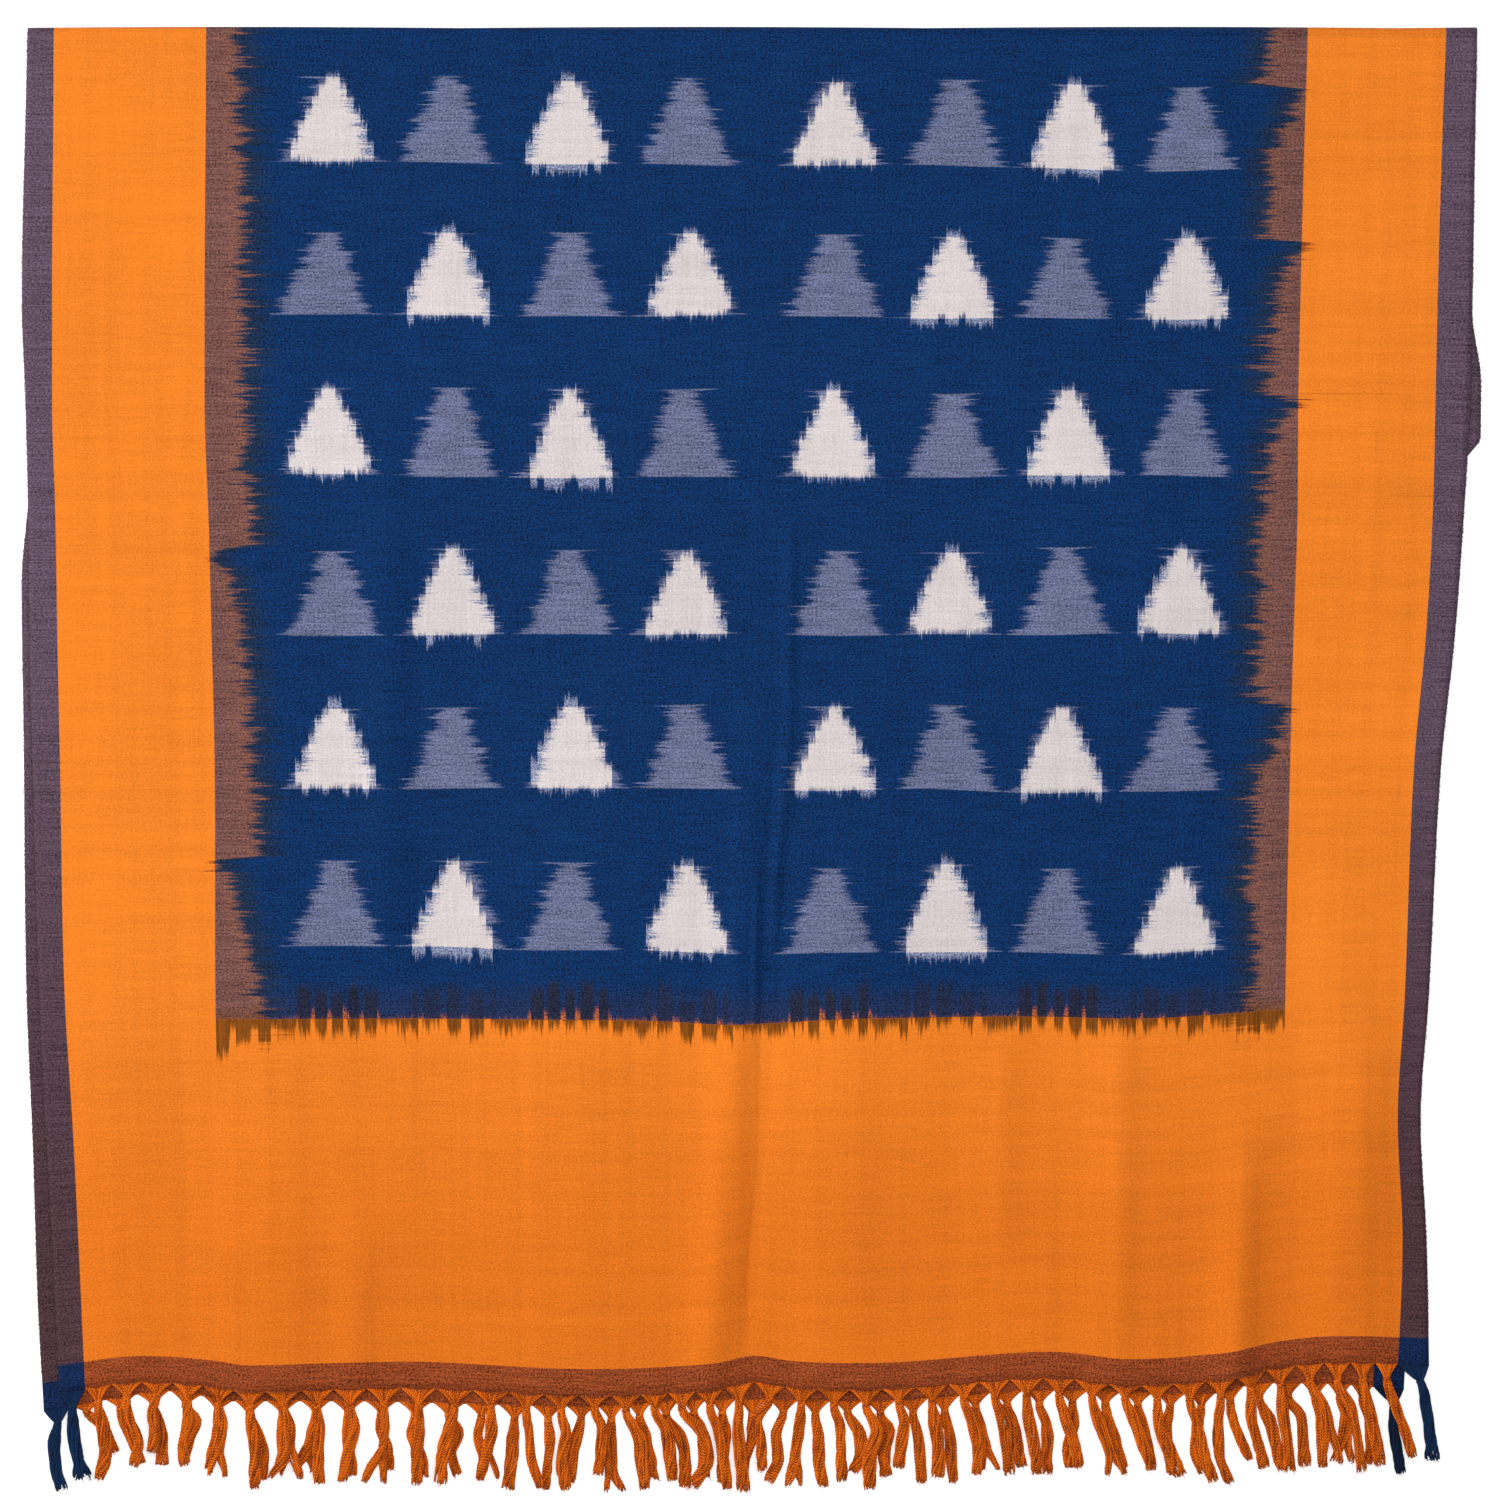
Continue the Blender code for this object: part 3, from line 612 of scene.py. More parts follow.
def makeTassels(name, half, corner, below, seed, look):
    v = yarnValues
    rng = np.random.default_rng(seed)
    pairs, shifts = tasselPlaces(half, corner)
    x, y, width = tasselMiddles(half, pairs, shifts)
    levels = ringLevels(half, x, y, width, below)
    parts = {kind: [] for kind in ("fan", "coil", "outward", "tail", "end")}
    tints = {kind: [] for kind in parts}
    for n, (pair, shift) in enumerate(zip(pairs, shifts)):
        root = hemLine(half, pair).mean(axis=0)
        # Fan: warp ends leave the hem side by side and run together at the knot in a concave sweep
        inner = pair + np.array([v["besideCusp"], -v["besideCusp"]])
        roots = hemLine(half, np.linspace(*inner, v["fanYarns"]))
        s = np.linspace(0, 1, v["fanRings"])[None, :, None]
        knot = bundlePath(root, shift, levels[n], np.array([v["knotAt"]]))[0]
        order = np.linspace(-1, 1, v["fanYarns"])
        deep = rng.uniform(-1, 1, len(order)) * v["knotDepth"]
        target = knot + np.stack([order * v["knotHalfWidth"], 0 * order, deep], -1)
        roots = roots + np.array([0, v["rootUp"], 0])
        fan = target[:, None] + (roots - target)[:, None] * (1 - s) ** np.array([look["sweep"], 1.0, 1.3])
        fan[..., 2] += v["fanWave"] * np.sin(math.pi * s[..., 0]) * rng.uniform(-1, 1, (len(order), 1))
        parts["fan"].append(fan)
        tints["fan"].append(rng.uniform(0, 1, len(order)))
        # Knot: one and a half turns of the bundle round itself
        turn = np.linspace(0, 3 * math.pi, v["coilRings"]) + rng.uniform(0, 2 * math.pi)
        outward = np.stack([np.cos(turn), 0 * turn, np.sin(turn)], -1)
        coil = knot + outward * [v["knotRadius"], 0, v["knotRadius"] * 0.72]
        coil[:, 1] += np.linspace(*v["coilAlong"], v["coilRings"]) + v["coilSlant"] * np.cos(turn + 0.7)
        parts["coil"].append(coil)
        parts["outward"].append(outward)
        tints["coil"].append([rng.uniform(0, 1)])
        # Tail: yarns on a loose twist round the middle line, in a flat bundle of uneven width. Each yarn
        # keeps its own turn and place in the bundle's oval and waves a little.
        count = v["tailYarns"]
        share = np.linspace(0, 1, v["tailRings"])[None, :]
        reach = 1 - 0.08 * rng.uniform(0, 1, (count, 1)) ** 1.5
        place = 0.150 + 0.850 * share * reach
        tail = bundlePath(root, shift, levels[n], place.ravel()).reshape(count, -1, 3)
        depth = np.where(np.arange(count) % 3 == 0, 0.52, 1.0)[:, None]
        bulges = rng.uniform(0.84, 1.22, 6) * rng.uniform(0.86, 1.16) * look["fullness"]
        bulges[:2] = 0.60, 0.72
        bulges[-1] *= look["flare"]
        spread = smoothRead(share, np.array([0, 0.08, 0.30, 0.55, 0.80, 1.0]), bulges)
        turns = rng.uniform(0.25, 0.85) * look["twist"]
        phase = np.arange(count)[:, None] * 2 * math.pi / count + 2 * math.pi * turns * share
        phase = phase + rng.uniform(-0.3, 0.3, (count, 1))
        phase = phase + 0.35 * np.sin(share * rng.uniform(4, 9, (count, 1)))
        slope = np.gradient(tail[..., 0], axis=1) / np.gradient(tail[..., 1], axis=1)
        side = v["halfWidth"] * spread * depth * np.cos(phase)
        tail[..., 0] += side / np.sqrt(1 + slope ** 2)
        tail[..., 1] -= side * slope / np.sqrt(1 + slope ** 2)
        tail[..., 2] += v["halfHeight"] * np.sqrt(spread) * depth * np.sin(phase)
        wave = np.sin(share * rng.uniform(8, 15, (count, 1)) + rng.uniform(0, 6, (count, 1)))
        tail[..., 0] += v["tailWave"] * wave * ease(share * 4)
        if n in forks.get(name, {}):
            start, apart = forks[name][n]
            away = np.where(np.cos(phase[:, -1:]) > 0, 1.0, -1.0)
            tail[..., 0] += away * apart * ease((place - start) / (1.05 - start))
        parts["tail"].append(tail)
        tints["tail"].append(rng.uniform(0, 1, count))
        # Cut end: loose fibres that stand a little apart
        strands = v["strandsAtEnd"]
        chosen = rng.integers(0, count, strands)
        s = np.linspace(0, 1, 5)[None, :, None]
        drift = rng.uniform(-1, 1, (strands, 3)) * v["endDrift"] - [0, look["strandReach"], 0]
        loose = tail[chosen, -1][:, None] + drift[:, None] * s
        loose[..., 0] += 0.0005 * np.sin(s[..., 0] * rng.uniform(3, 8, (strands, 1)))
        loose[..., 2] = np.maximum(loose[..., 2] - v["endDrop"] * s[..., 0], 0.0005)
        parts["end"].append(loose)
        tints["end"].append(rng.uniform(0, 1, strands))
    fans, tails, ends = (np.concatenate(parts[k]) for k in ("fan", "tail", "end"))
    coils, spins = np.stack(parts["coil"]), np.stack(parts["outward"])

    def thick(known, radii, paths):
        along = np.linspace(0, 1, paths.shape[1])
        return np.broadcast_to(np.interp(along, known, radii), paths.shape[:2])

    fanRadii = thick([0, 0.3, 1], [0.0007, 0.0008, 0.0008], fans)
    coilRadii = thick([0, 0.12, 0.88, 1], np.array([0.5, 1.0, 1.0, 0.5]) * v["coilRadius"], coils)
    tailRadii = thick([0, 0.1, 0.5, 0.95, 1], np.array([0.9, 1.0, 1.05, 1.05, 0.6]) * v["yarnRadius"], tails)
    s = np.linspace(0, 1, v["tailRings"])
    tailRadii = tailRadii * (1 + 0.10 * np.sin(s * 23 + np.arange(len(tails))[:, None] * 1.9))
    sets = [
        (tubes(fans, fanRadii, v["fanSides"]), "fan"),
        (tubes(coils, coilRadii, v["coilSides"], spins), "coil"),
        (tubes(tails, tailRadii, v["tailSides"]), "tail"),
        (tubes(ends, thick([0, 1], v["endRadii"], ends), 3), "end"),
    ]
    points, faces, uvs, tint, offset = [], [], [], [], 0
    for (p, f, uv), kind in sets:
        yarns = np.concatenate(tints[kind])
        points.append(p)
        faces += [[i + offset for i in face] for face in f]
        uvs.append(uv)
        tint.append(np.repeat(yarns, len(p) // len(yarns)))
        offset += len(p)
    points = np.concatenate(points)
    points[:, 2] = np.maximum(points[:, 2], v["floorGap"])
    piece = newMesh(name, points, faces)
    addYarnData(piece, np.concatenate(uvs), np.concatenate(tint))
    return piece


looks = {
    "orange": {"flare": 1.02, "fullness": 0.93, "twist": 1.0, "strandReach": 0.0016, "sweep": 1.5},
    "blue": {"flare": 1.15, "fullness": 0.95, "twist": 1.4, "strandReach": 0.0020, "sweep": 0.8},
    "frizzy": {"flare": 2.3, "fullness": 1.0, "twist": 0.8, "strandReach": 0.0030, "sweep": 0.8},
}
tasselSets = [
    # piece, half, solid node, random seed, look, yarn and material slot
    ("frontTassels", "front", "front_fringe", 5, "orange", "orangeYarn", "orange_yarn"),
    ("backTassels", "back", "back_fringe", 6, "orange", "orangeYarn", "orange_yarn"),
    ("frontLeftTassel", "front", "front_tassel_left", 7, "frizzy", "blueYarn", "blue_yarn"),
    ("frontRightTassel", "front", "front_tassel_right", 8, "blue", "blueYarn", "blue_yarn"),
    ("backLeftTassel", "back", "back_tassel_left", 9, "blue", "blueYarn", "blue_yarn"),
    ("backRightTassel", "back", "back_tassel_right", 10, "blue", "navyYarn", "blue_yarn"),
]
backCorners = (None, "back_tassel_left", "back_tassel_right")
backSets = [tasselMiddles("back", *tasselPlaces("back", corner)) for corner in backCorners]
below = tuple(np.concatenate([s[k] for s in backSets]) for k in range(3))
tassels = {}
for name, half, node, seed, look, _, _ in tasselSets:
    corner = node if node in cornerTassels else None
    tassels[name] = makeTassels(name, half, corner, below, seed, looks[look])
print("tassels knotted:", sum(len(t.data.polygons) for t in tassels.values()), "faces")


# Weft loops and loose ends that stand out of the side edges
loopValues = {
    "spacing": 0.0023,
    "reach": (0.0001, 0.0009),
    "halfSpan": (0.0005, 0.0012),
    "threadRadius": 0.00022,
}
looseEnds = [  # half, station, woven length of the start, and steps to the side and down to the end
    ("front", 0.0, 0.8560, (-0.0040, 0.0080), (-0.0015, 0.0200)),
    ("front", 0.0, 0.8880, (-0.0050, 0.0030), (-0.0060, 0.0100)),
    ("back", 0.0, 0.9300, (-0.0050, 0.0060), (-0.0030, 0.0160)),
]


def makeEdgeThreads():
    v = loopValues
    rng = np.random.default_rng(11)
    paths = []
    for sign, warp in ((1, clothValues["frontWarp"]), (-1, clothValues["backWarp"])):
        for side, station in ((-1, 0.0), (1, clothValues["stripes"][-1])):
            woven = np.arange(0.006, warp - 0.030, v["spacing"])
            woven = woven + rng.uniform(-0.4, 0.4, woven.shape) * v["spacing"]
            reach = rng.uniform(*v["reach"], woven.shape) * (0.4 + 0.6 * np.sin(woven * 61) ** 2)
            halfSpan = rng.uniform(*v["halfSpan"], woven.shape)
            turn = np.linspace(0, math.pi, 6)
            along = sign * (woven[:, None] - halfSpan[:, None] * np.cos(turn))
            stations = np.full_like(along, station)
            path = clothPoint(stations, warpReach(stations, along))
            path[..., 0] += side * (reach[:, None] * np.sin(turn) - 0.0001)
            paths.append(path)
    for half, station, woven, (bendX, bendY), (endX, endY) in looseEnds:
        start = clothPoint(np.array([station]), warpReach(np.array([station]), np.array([woven])))
        s = np.linspace(0, 1, 6)
        x = 2 * s * (1 - s) * bendX * 2 + s * s * endX
        y = 2 * s * (1 - s) * bendY + s * s * endY
        paths.append(start[None] + np.stack([x, -y, 0 * s], -1))
    paths = np.concatenate(paths)
    paths[..., 2] = np.maximum(paths[..., 2], 0.0004)
    radii = np.full(paths.shape[:2], v["threadRadius"])
    points, faces, uv = tubes(paths, radii, 3)
    piece = newMesh("edgeThreads", points, faces)
    addYarnData(piece, uv, np.repeat(rng.uniform(0, 1, len(paths)), len(points) // len(paths)))
    return piece


edgeThreads = makeEdgeThreads()
print("edges looped:", len(edgeThreads.data.polygons), "faces")


# Shader wiring: a Wire is one output of a node tree, and sums and products of wires add Math nodes
def mathNode(operation):
    return lambda wire, *others: wire.maths(operation, *others)


class Wire:
    def __init__(self, tree, socket):
        self.tree = tree
        self.socket = socket

    def maths(self, operation, *others):
        node = self.tree.nodes.new("ShaderNodeMath")
        node.operation = operation
        for slot, value in zip(node.inputs, (self, *others)):
            plug(self.tree, slot, value)
        return Wire(self.tree, node.outputs[0])

    __add__ = __radd__ = mathNode("ADD")
    __sub__ = mathNode("SUBTRACT")
    __mul__ = __rmul__ = mathNode("MULTIPLY")
    __truediv__ = mathNode("DIVIDE")
    power = mathNode("POWER")
    floor = mathNode("FLOOR")
    size = mathNode("ABSOLUTE")
    above = mathNode("GREATER_THAN")

    def __rsub__(self, other):
        return self * -1.0 + other

    def rises(self, start, end):  # 0 at start, 1 at end, smooth between
        node = self.tree.nodes.new("ShaderNodeMapRange")
        node.interpolation_type = "SMOOTHSTEP"
        for slot, value in zip(node.inputs, (self, start, end, 0.0, 1.0)):
            plug(self.tree, slot, value)
        return Wire(self.tree, node.outputs["Result"])

    def reads(self, table, low, high):
        # Straight lines between the points of a table, whose values lie between low and high
        first, last = table[0][0], table[-1][0]
        node = self.tree.nodes.new("ShaderNodeFloatCurve")
        curve = node.mapping.curves[0]
        while len(curve.points) < len(table):
            curve.points.new(0.5, 0.5)
        for point, (x, y) in zip(curve.points, table):
            point.location = ((x - first) / (last - first), (y - low) / (high - low))
            point.handle_type = "VECTOR"
        node.mapping.update()
        plug(self.tree, node.inputs["Value"], (self - first) / (last - first))
        return Wire(self.tree, node.outputs[0]) * (high - low) + low

    def blends(self, first, second):  # from the first colour at 0 to the second at 1
        node = self.tree.nodes.new("ShaderNodeMix")
        node.data_type = "RGBA"
        plug(self.tree, node.inputs["Factor"], self)
        for slot, value in (("A", first), ("B", second)):
            sockets = [s for s in node.inputs if s.name == slot and s.type == "RGBA"]
            plug(self.tree, sockets[0], value if not isinstance(value, tuple) else (*value, 1.0))
        return Wire(self.tree, [s for s in node.outputs if s.type == "RGBA"][0])


def plug(tree, slot, value):
    if isinstance(value, Wire):
        tree.links.new(value.socket, slot)
    elif isinstance(value, bpy.types.NodeSocket):
        tree.links.new(value, slot)
    else:
        slot.default_value = value


def joined(tree, *values):
    join = tree.nodes.new("ShaderNodeCombineXYZ")
    for slot, value in zip(join.inputs, values):
        plug(tree, slot, value)
    return join.outputs[0]


def chance(tree, x, y=0.0, z=0.0):
    # Three values from 0 to 1 that change at random from one whole number to the next
    node = tree.nodes.new("ShaderNodeTexWhiteNoise")
    node.noise_dimensions = "3D"
    plug(tree, node.inputs["Vector"], joined(tree, x, y, z))
    split = tree.nodes.new("ShaderNodeSeparateColor")
    tree.links.new(node.outputs["Color"], split.inputs[0])
    return [Wire(tree, out) for out in split.outputs]


def cloud(tree, x, y, detail):
    node = tree.nodes.new("ShaderNodeTexNoise")
    node.noise_dimensions = "2D"
    node.inputs["Scale"].default_value = 1.0
    node.inputs["Detail"].default_value = detail
    plug(tree, node.inputs["Vector"], joined(tree, x, y))
    return Wire(tree, node.outputs["Fac"])


def readUv(tree, name):
    uv = tree.nodes.new("ShaderNodeUVMap")
    uv.uv_map = name
    split = tree.nodes.new("ShaderNodeSeparateXYZ")
    tree.links.new(uv.outputs[0], split.inputs[0])
    return Wire(tree, split.outputs[0]), Wire(tree, split.outputs[1])


def addBump(tree, shader, height, strength, distance):
    bump = tree.nodes.new("ShaderNodeBump")
    bump.inputs["Strength"].default_value = strength
    bump.inputs["Distance"].default_value = distance
    plug(tree, bump.inputs["Height"], height)
    tree.links.new(bump.outputs[0], shader.inputs["Normal"])


def newMaterial(name):
    material = bpy.data.materials.new(name)
    material.use_nodes = True
    return material, material.node_tree, material.node_tree.nodes["Principled BSDF"]


ikat = {  # all lengths of the pattern are in millimetres
    "threadPitch": 0.90,
    "weavePitch": 1.12,
    "rowPitch": 122.1,
    "firstBaseline": 102.3,
    "rowsBelowFold": 5,
    "rowsBehind": -6,
    "leftGroup": 235.0,
    "rightGroup": 627.5,
    "groupsMeet": 570.0,
    "leftPitch": 92.8,
    "rightPitch": 91.0,
    "bundle": 5.35,
    "band": 4.6,
    "triangleHeight": 69.5,
    "firstStep": 7.4,
    "stepGrowth": 0.58,
    "footHalfWidth": 34.3,
    "narrowing": 0.42,  # how much the half width loses for each millimetre up
    "weftHeight": 64.5,
    "lineMiddle": -6.0,  # the two end borders are alike about this line
    "endBorder": 774.0,
    "endStrip": 1040.0,
    "barPitch": 13.2,
    "barHigh": 38.0,
    "edgeSoft": 0.3,  # half the width over which a woven line changes
}
dyesAndShade = {  # linear colours of each crossing of warp and weft, and one darker orange that is painted shade
    "orange": (0.850, 0.216, 0.0175),
    # painted shade: the orange of the lower cloth, darkened where the light falls off
    "shadedOrange": (0.750, 0.170, 0.0105),
    "blue": (0.0016, 0.0262, 0.1080),
    "nearEnd": (0.0180, 0.0250, 0.0700),
    "white": (0.658, 0.590, 0.586),
    "greyBlue": (0.129, 0.148, 0.258),
    "lilac": (0.215, 0.245, 0.375),
    "brown": (0.172, 0.073, 0.064),
    "brownTip": (0.290, 0.105, 0.045),
    "purple": (0.110, 0.070, 0.107),
    "plum": (0.074, 0.034, 0.043),
    "redBrown": (0.285, 0.056, 0.0140),
    "bar": (0.0150, 0.0180, 0.0410),
    "glow": (0.420, 0.105, 0.0240),
    "olive": (0.140, 0.042, 0.0030),
    "corner": (0.0045, 0.0190, 0.0750),
    "halo": (0.0100, 0.0250, 0.0640),
}
leftEdge = [  # in millimetres: woven length from the fold, and where the blue weft starts
    (0, 162), (56, 165), (102, 167), (172, 169), (250, 171), (327, 170), (401, 176), (404, 141),
    (412, 141), (418, 150), (440, 160), (500, 167), (560, 170), (643, 176), (646, 141),
    (652, 142), (660, 151), (690, 161), (730, 172), (780, 180),
]
rightEdge = [
    (0, 962), (36, 949), (40, 989), (52, 982), (76, 966), (150, 959), (158, 956), (161, 989),
    (176, 979), (205, 967), (280, 961), (287, 989), (300, 979), (324, 966), (380, 959),
    (520, 958), (526, 989), (544, 978), (566, 970), (600, 961), (645, 959), (720, 962),
    (780, 958),
]
clouds = [  # changes to a millimetre across and along, and detail
    (0.60, 0.74, 2.0),  # grain
    (1.5, 1.5, 2.0),  # fine
    (0.03, 0.80, 2.0),  # weft lines
    (0.80, 0.03, 2.0),  # warp lines
    (0.0015, 0.09, 3.0),  # weft bars
    (0.09, 0.0015, 3.0),  # warp bars
    (0.006, 0.006, 2.0),  # patches
    (0.035, 0.080, 3.0),  # mottle
]


def makeIkat():
    material, tree, shader = newMaterial("ikatCotton")
    acrossWidth, alongWarp = readUv(tree, "weave")
    c = acrossWidth * 1000.0
    t = alongWarp * 1000.0
    v = ikat
    warpThread = (c / v["threadPitch"]).floor()
    weftThread = (t / v["threadPitch"]).floor()

    # Motif under this point: its row, its place in the row, and the distances from its foot and middle
    bend = (cloud(tree, c * 0.006, t * 0.004, 1.0) - 0.5) * 7.0
    row = ((t - (v["firstBaseline"] + 15.0)) / v["rowPitch"]).maths("CEIL")
    height = row * v["rowPitch"] + v["firstBaseline"] - t + bend
    isRight = c.above(v["groupsMeet"])
    start = isRight * (v["rightGroup"] - v["leftGroup"]) + v["leftGroup"]
    pitch = isRight * (v["rightPitch"] - v["leftPitch"]) + v["leftPitch"]
    place = ((c - start) / pitch + 0.5).floor()
    middle = c - start - place * pitch
    column = place + isRight * 4.0
    inside = place.above(-0.5) * (1.0 - place.above(3.5))
    inside = inside * row.above(v["rowsBehind"] - 0.5) * (1.0 - row.above(v["rowsBelowFold"] + 0.5))
    isGrey = ((row + place) * 0.5).maths("FRACT") * 2.0
    motif = row * 8.0 + column
    shiftX, shiftY, tall = chance(tree, motif, 3.0)
    weftShift, weftTall, toothed = chance(tree, motif, 7.0)

    # White warp: stepped bundles of threads, tallest in the middle, with feathered ends and short teeth
    x = middle + (shiftX - 0.5) * 5.0
    bundle = (x / v["bundle"]).floor()
    steps = (bundle + 0.5).size() - 0.5
    bundleTop, bundleFoot, _ = chance(tree, bundle, motif, 1.0)
    tooth, _, _ = chance(tree, steps, motif, 2.0)
    threadTop, threadFoot, threadFade = chance(tree, warpThread, motif, 3.0)
    top = v["triangleHeight"] + (tall - 0.5) * 8.0 - steps * (steps * v["stepGrowth"] + v["firstStep"])
    top = top - bundleTop * 2.5
    top = top + threadTop * 2.0 + threadTop.power(6.0) * 3.5
    foot = (shiftY - 0.5) * 4.0 + 2.0 - tooth.rises(0.48, 0.56) * (toothed * 6.0 + 1.5) - bundleFoot * 1.5
    foot = foot - threadFoot * 1.6 - threadFoot.power(6.0) * 4.0
    foot = foot + steps.rises(2.9, 5.1) * (1.0 - toothed) * 3.0
    whiteWarp = (height - foot).rises(-1.5, 4.5) * (top - height).rises(-2.0, 4.0 + threadFade * 3.0)
    whiteWarp = whiteWarp * (1.0 - steps.above(5.5)) * inside * (1.0 - isGrey)

    # White weft: bands of threads that widen down to the foot, feathered at both ends
    x = middle + (weftShift - 0.5) * 6.0
    side = x.above(0.0)
    band = (height / v["band"]).floor()
    bandWide, _, _ = chance(tree, band, motif, side + 4.0)
    threadWide, threadReach, threadSoft = chance(tree, weftThread, motif, side + 6.0)
    halfWidth = v["footHalfWidth"] - band * (v["band"] * v["narrowing"])
    halfWidth = halfWidth + (bandWide - 0.5) * 7.0 + (threadWide - 0.5) * 5.0
    halfWidth = halfWidth + threadReach.power(7.0) * 7.0 + height.rises(1.8, 0.6) * 11.0 * threadReach
    fromTop = weftTall * 3.0 + v["weftHeight"] - height
    halfWidth = halfWidth + fromTop.rises(2.0, 0.8) * 14.0 * threadSoft
    whiteWeft = (halfWidth - x.size()).rises(-3.0, 3.0 + threadSoft * 6.0) * height.rises(-0.4, 0.6)
    whiteWeft = whiteWeft * fromTop.rises(-0.3, 1.2) * inside

    # Blue weft of the field: its ends are jagged in bands, with single threads that run further
    fromMiddle = (t - v["lineMiddle"]).size()
    toLine = fromMiddle - v["endBorder"]
    leftBand, rightBand, _ = chance(tree, (t / 5.0).floor(), 12.0)
    leftStrip, rightStrip, _ = chance(tree, (t / 2.1).floor(), 14.0)
    leftThread, rightThread, haloThread = chance(tree, weftThread, 13.0)
    down = t.size()
    leftLong, rightLong = leftThread.power(10.0), rightThread.power(10.0)  # a few threads are near 1

    def jagged(inwards, bands, strips, threads, long, short):
        jag = (bands - 0.5) * 9.0 + (strips - 0.5) * 8.0 + (threads - 0.5) * 6.0
        return inwards - jag + long * 15.0 - short * 12.0

    def crosses(wire, line):
        return wire.rises(line - v["edgeSoft"], line + v["edgeSoft"])

    fromLeft = c - down.reads(leftEdge, 130, 190)
    fromLeft = jagged(fromLeft, leftBand, leftStrip, leftThread, leftLong, rightLong)
    fromRight = down.reads(rightEdge, 940, 1000) - c
    fromRight = jagged(fromRight, rightBand, rightStrip, rightThread, rightLong, leftLong)
    fromSide = fromLeft.maths("MINIMUM", fromRight)
    inField = 1.0 - crosses(toLine, 0.0)
    inStrip = crosses(fromMiddle, v["endStrip"])
    blueWeft = (fromSide.rises(-8.0, 2.5) * inField).maths("MAXIMUM", inStrip)
    halo = 1.0 - fromSide.rises(4.0, haloThread * 8.0 + 20.0)

    # Warp: orange borders, blue selvedges, and a field whose threads turn orange at the end borders. Above
    # that line they darken in bars or blocks, with an orange glow between, and below it hang olive feathers.
    edges = [crosses(c, edge) for edge in clothValues["stripes"][1:-1] * 1000.0]
    inSelvedge = (1.0 - edges[0]) + edges[3]
    betweenBorders = edges[1] * (1.0 - edges[2])
    isOdd = (place * 0.5).maths("FRACT") * 2.0
    barPitch = isOdd * 4.5 + v["barPitch"]
    barPlace = (middle / barPitch + 0.5).floor()
    barWide, barTop, barEnd = chance(tree, barPlace, column, 31.0)
    fromBar = (middle - barPlace * barPitch).size() - barWide * 2.0 - isOdd * 1.5
    underMotif = 1.0 - middle.size().rises(31.0, 35.0)
    inBar = (1.0 - fromBar.rises(2.9, 4.1)) * underMotif
    warpJag, warpReach, warpShade = chance(tree, warpThread, 22.0)
    barHigh = v["barHigh"] - barTop * 12.0 - warpJag * 7.0
    bars = inBar * (toLine + barHigh).rises(0.0, 9.0) * (0.95 - isOdd * 0.35)
    nearLine = toLine.rises(-36.0, -4.0) * 0.60
    gapJag, gapGlow, oliveReach = chance(tree, (c / 5.5).floor(), 23.0)
    glowHigh = (1.0 - inBar) * underMotif * (1.0 - isOdd * 0.7) * (gapGlow * 9.0 + 2.0) + gapJag * 1.5
    glow = (toLine + glowHigh + (warpJag - 0.5) * 4.0).rises(-2.0, 6.0) * (0.85 - inBar * 0.6)
    oliveDeep = inBar * (barEnd * 11.0 + 5.0) + (oliveReach - 0.50) * 7.0 + (1.0 - underMotif) * 9.0
    oliveDeep = oliveDeep + (1.0 - fromSide.rises(-22.0, 26.0)) * 13.0
    oliveDeep = oliveDeep + (warpJag - 0.5) * 6.0 + warpReach.power(7.0) * 7.0
    olive = (oliveDeep - toLine).rises(-2.0, 7.0) * (warpShade * 0.20 + 0.80) * betweenBorders
    blueWarp = (betweenBorders * inField).maths("MAXIMUM", inSelvedge)

    # Colour of each crossing
    # Painted shade: the orange darkens towards the hems, at the bottom, as the light falls off
    low = down.rises(700.0, 980.0)
    orange = low.blends(dyesAndShade["orange"], dyesAndShade["shadedOrange"])
    selvedge = down.rises(350.0, 1020.0).blends(dyesAndShade["purple"], dyesAndShade["plum"])
    beside = (fromSide.rises(-17.0, -1.0) * 0.50).blends(dyesAndShade["brown"], dyesAndShade["brownTip"])
    beside = (toLine.rises(-14.0, 2.0) * 0.6).blends(beside, dyesAndShade["olive"])
    onOrange = (olive * (1.0 - inField)).blends(orange, dyesAndShade["olive"])
    onOrange = blueWarp.blends(onOrange, inSelvedge.blends(beside, selvedge))
    field = nearLine.blends(halo.blends(dyesAndShade["blue"], dyesAndShade["halo"]), dyesAndShade["nearEnd"])
    field = bars.blends(field, dyesAndShade["bar"])
    field = (glow * (1.0 - inSelvedge)).blends(field, dyesAndShade["glow"])
    field = whiteWarp.blends(field, dyesAndShade["lilac"])
    onBlue = blueWarp.blends(dyesAndShade["redBrown"], field)
    onWhite = whiteWarp.blends(dyesAndShade["greyBlue"], dyesAndShade["white"])
    color = blueWeft.blends(onOrange, onBlue)
    color = (inStrip * inSelvedge).blends(color, dyesAndShade["corner"])
    color = whiteWeft.blends(color, onWhite)

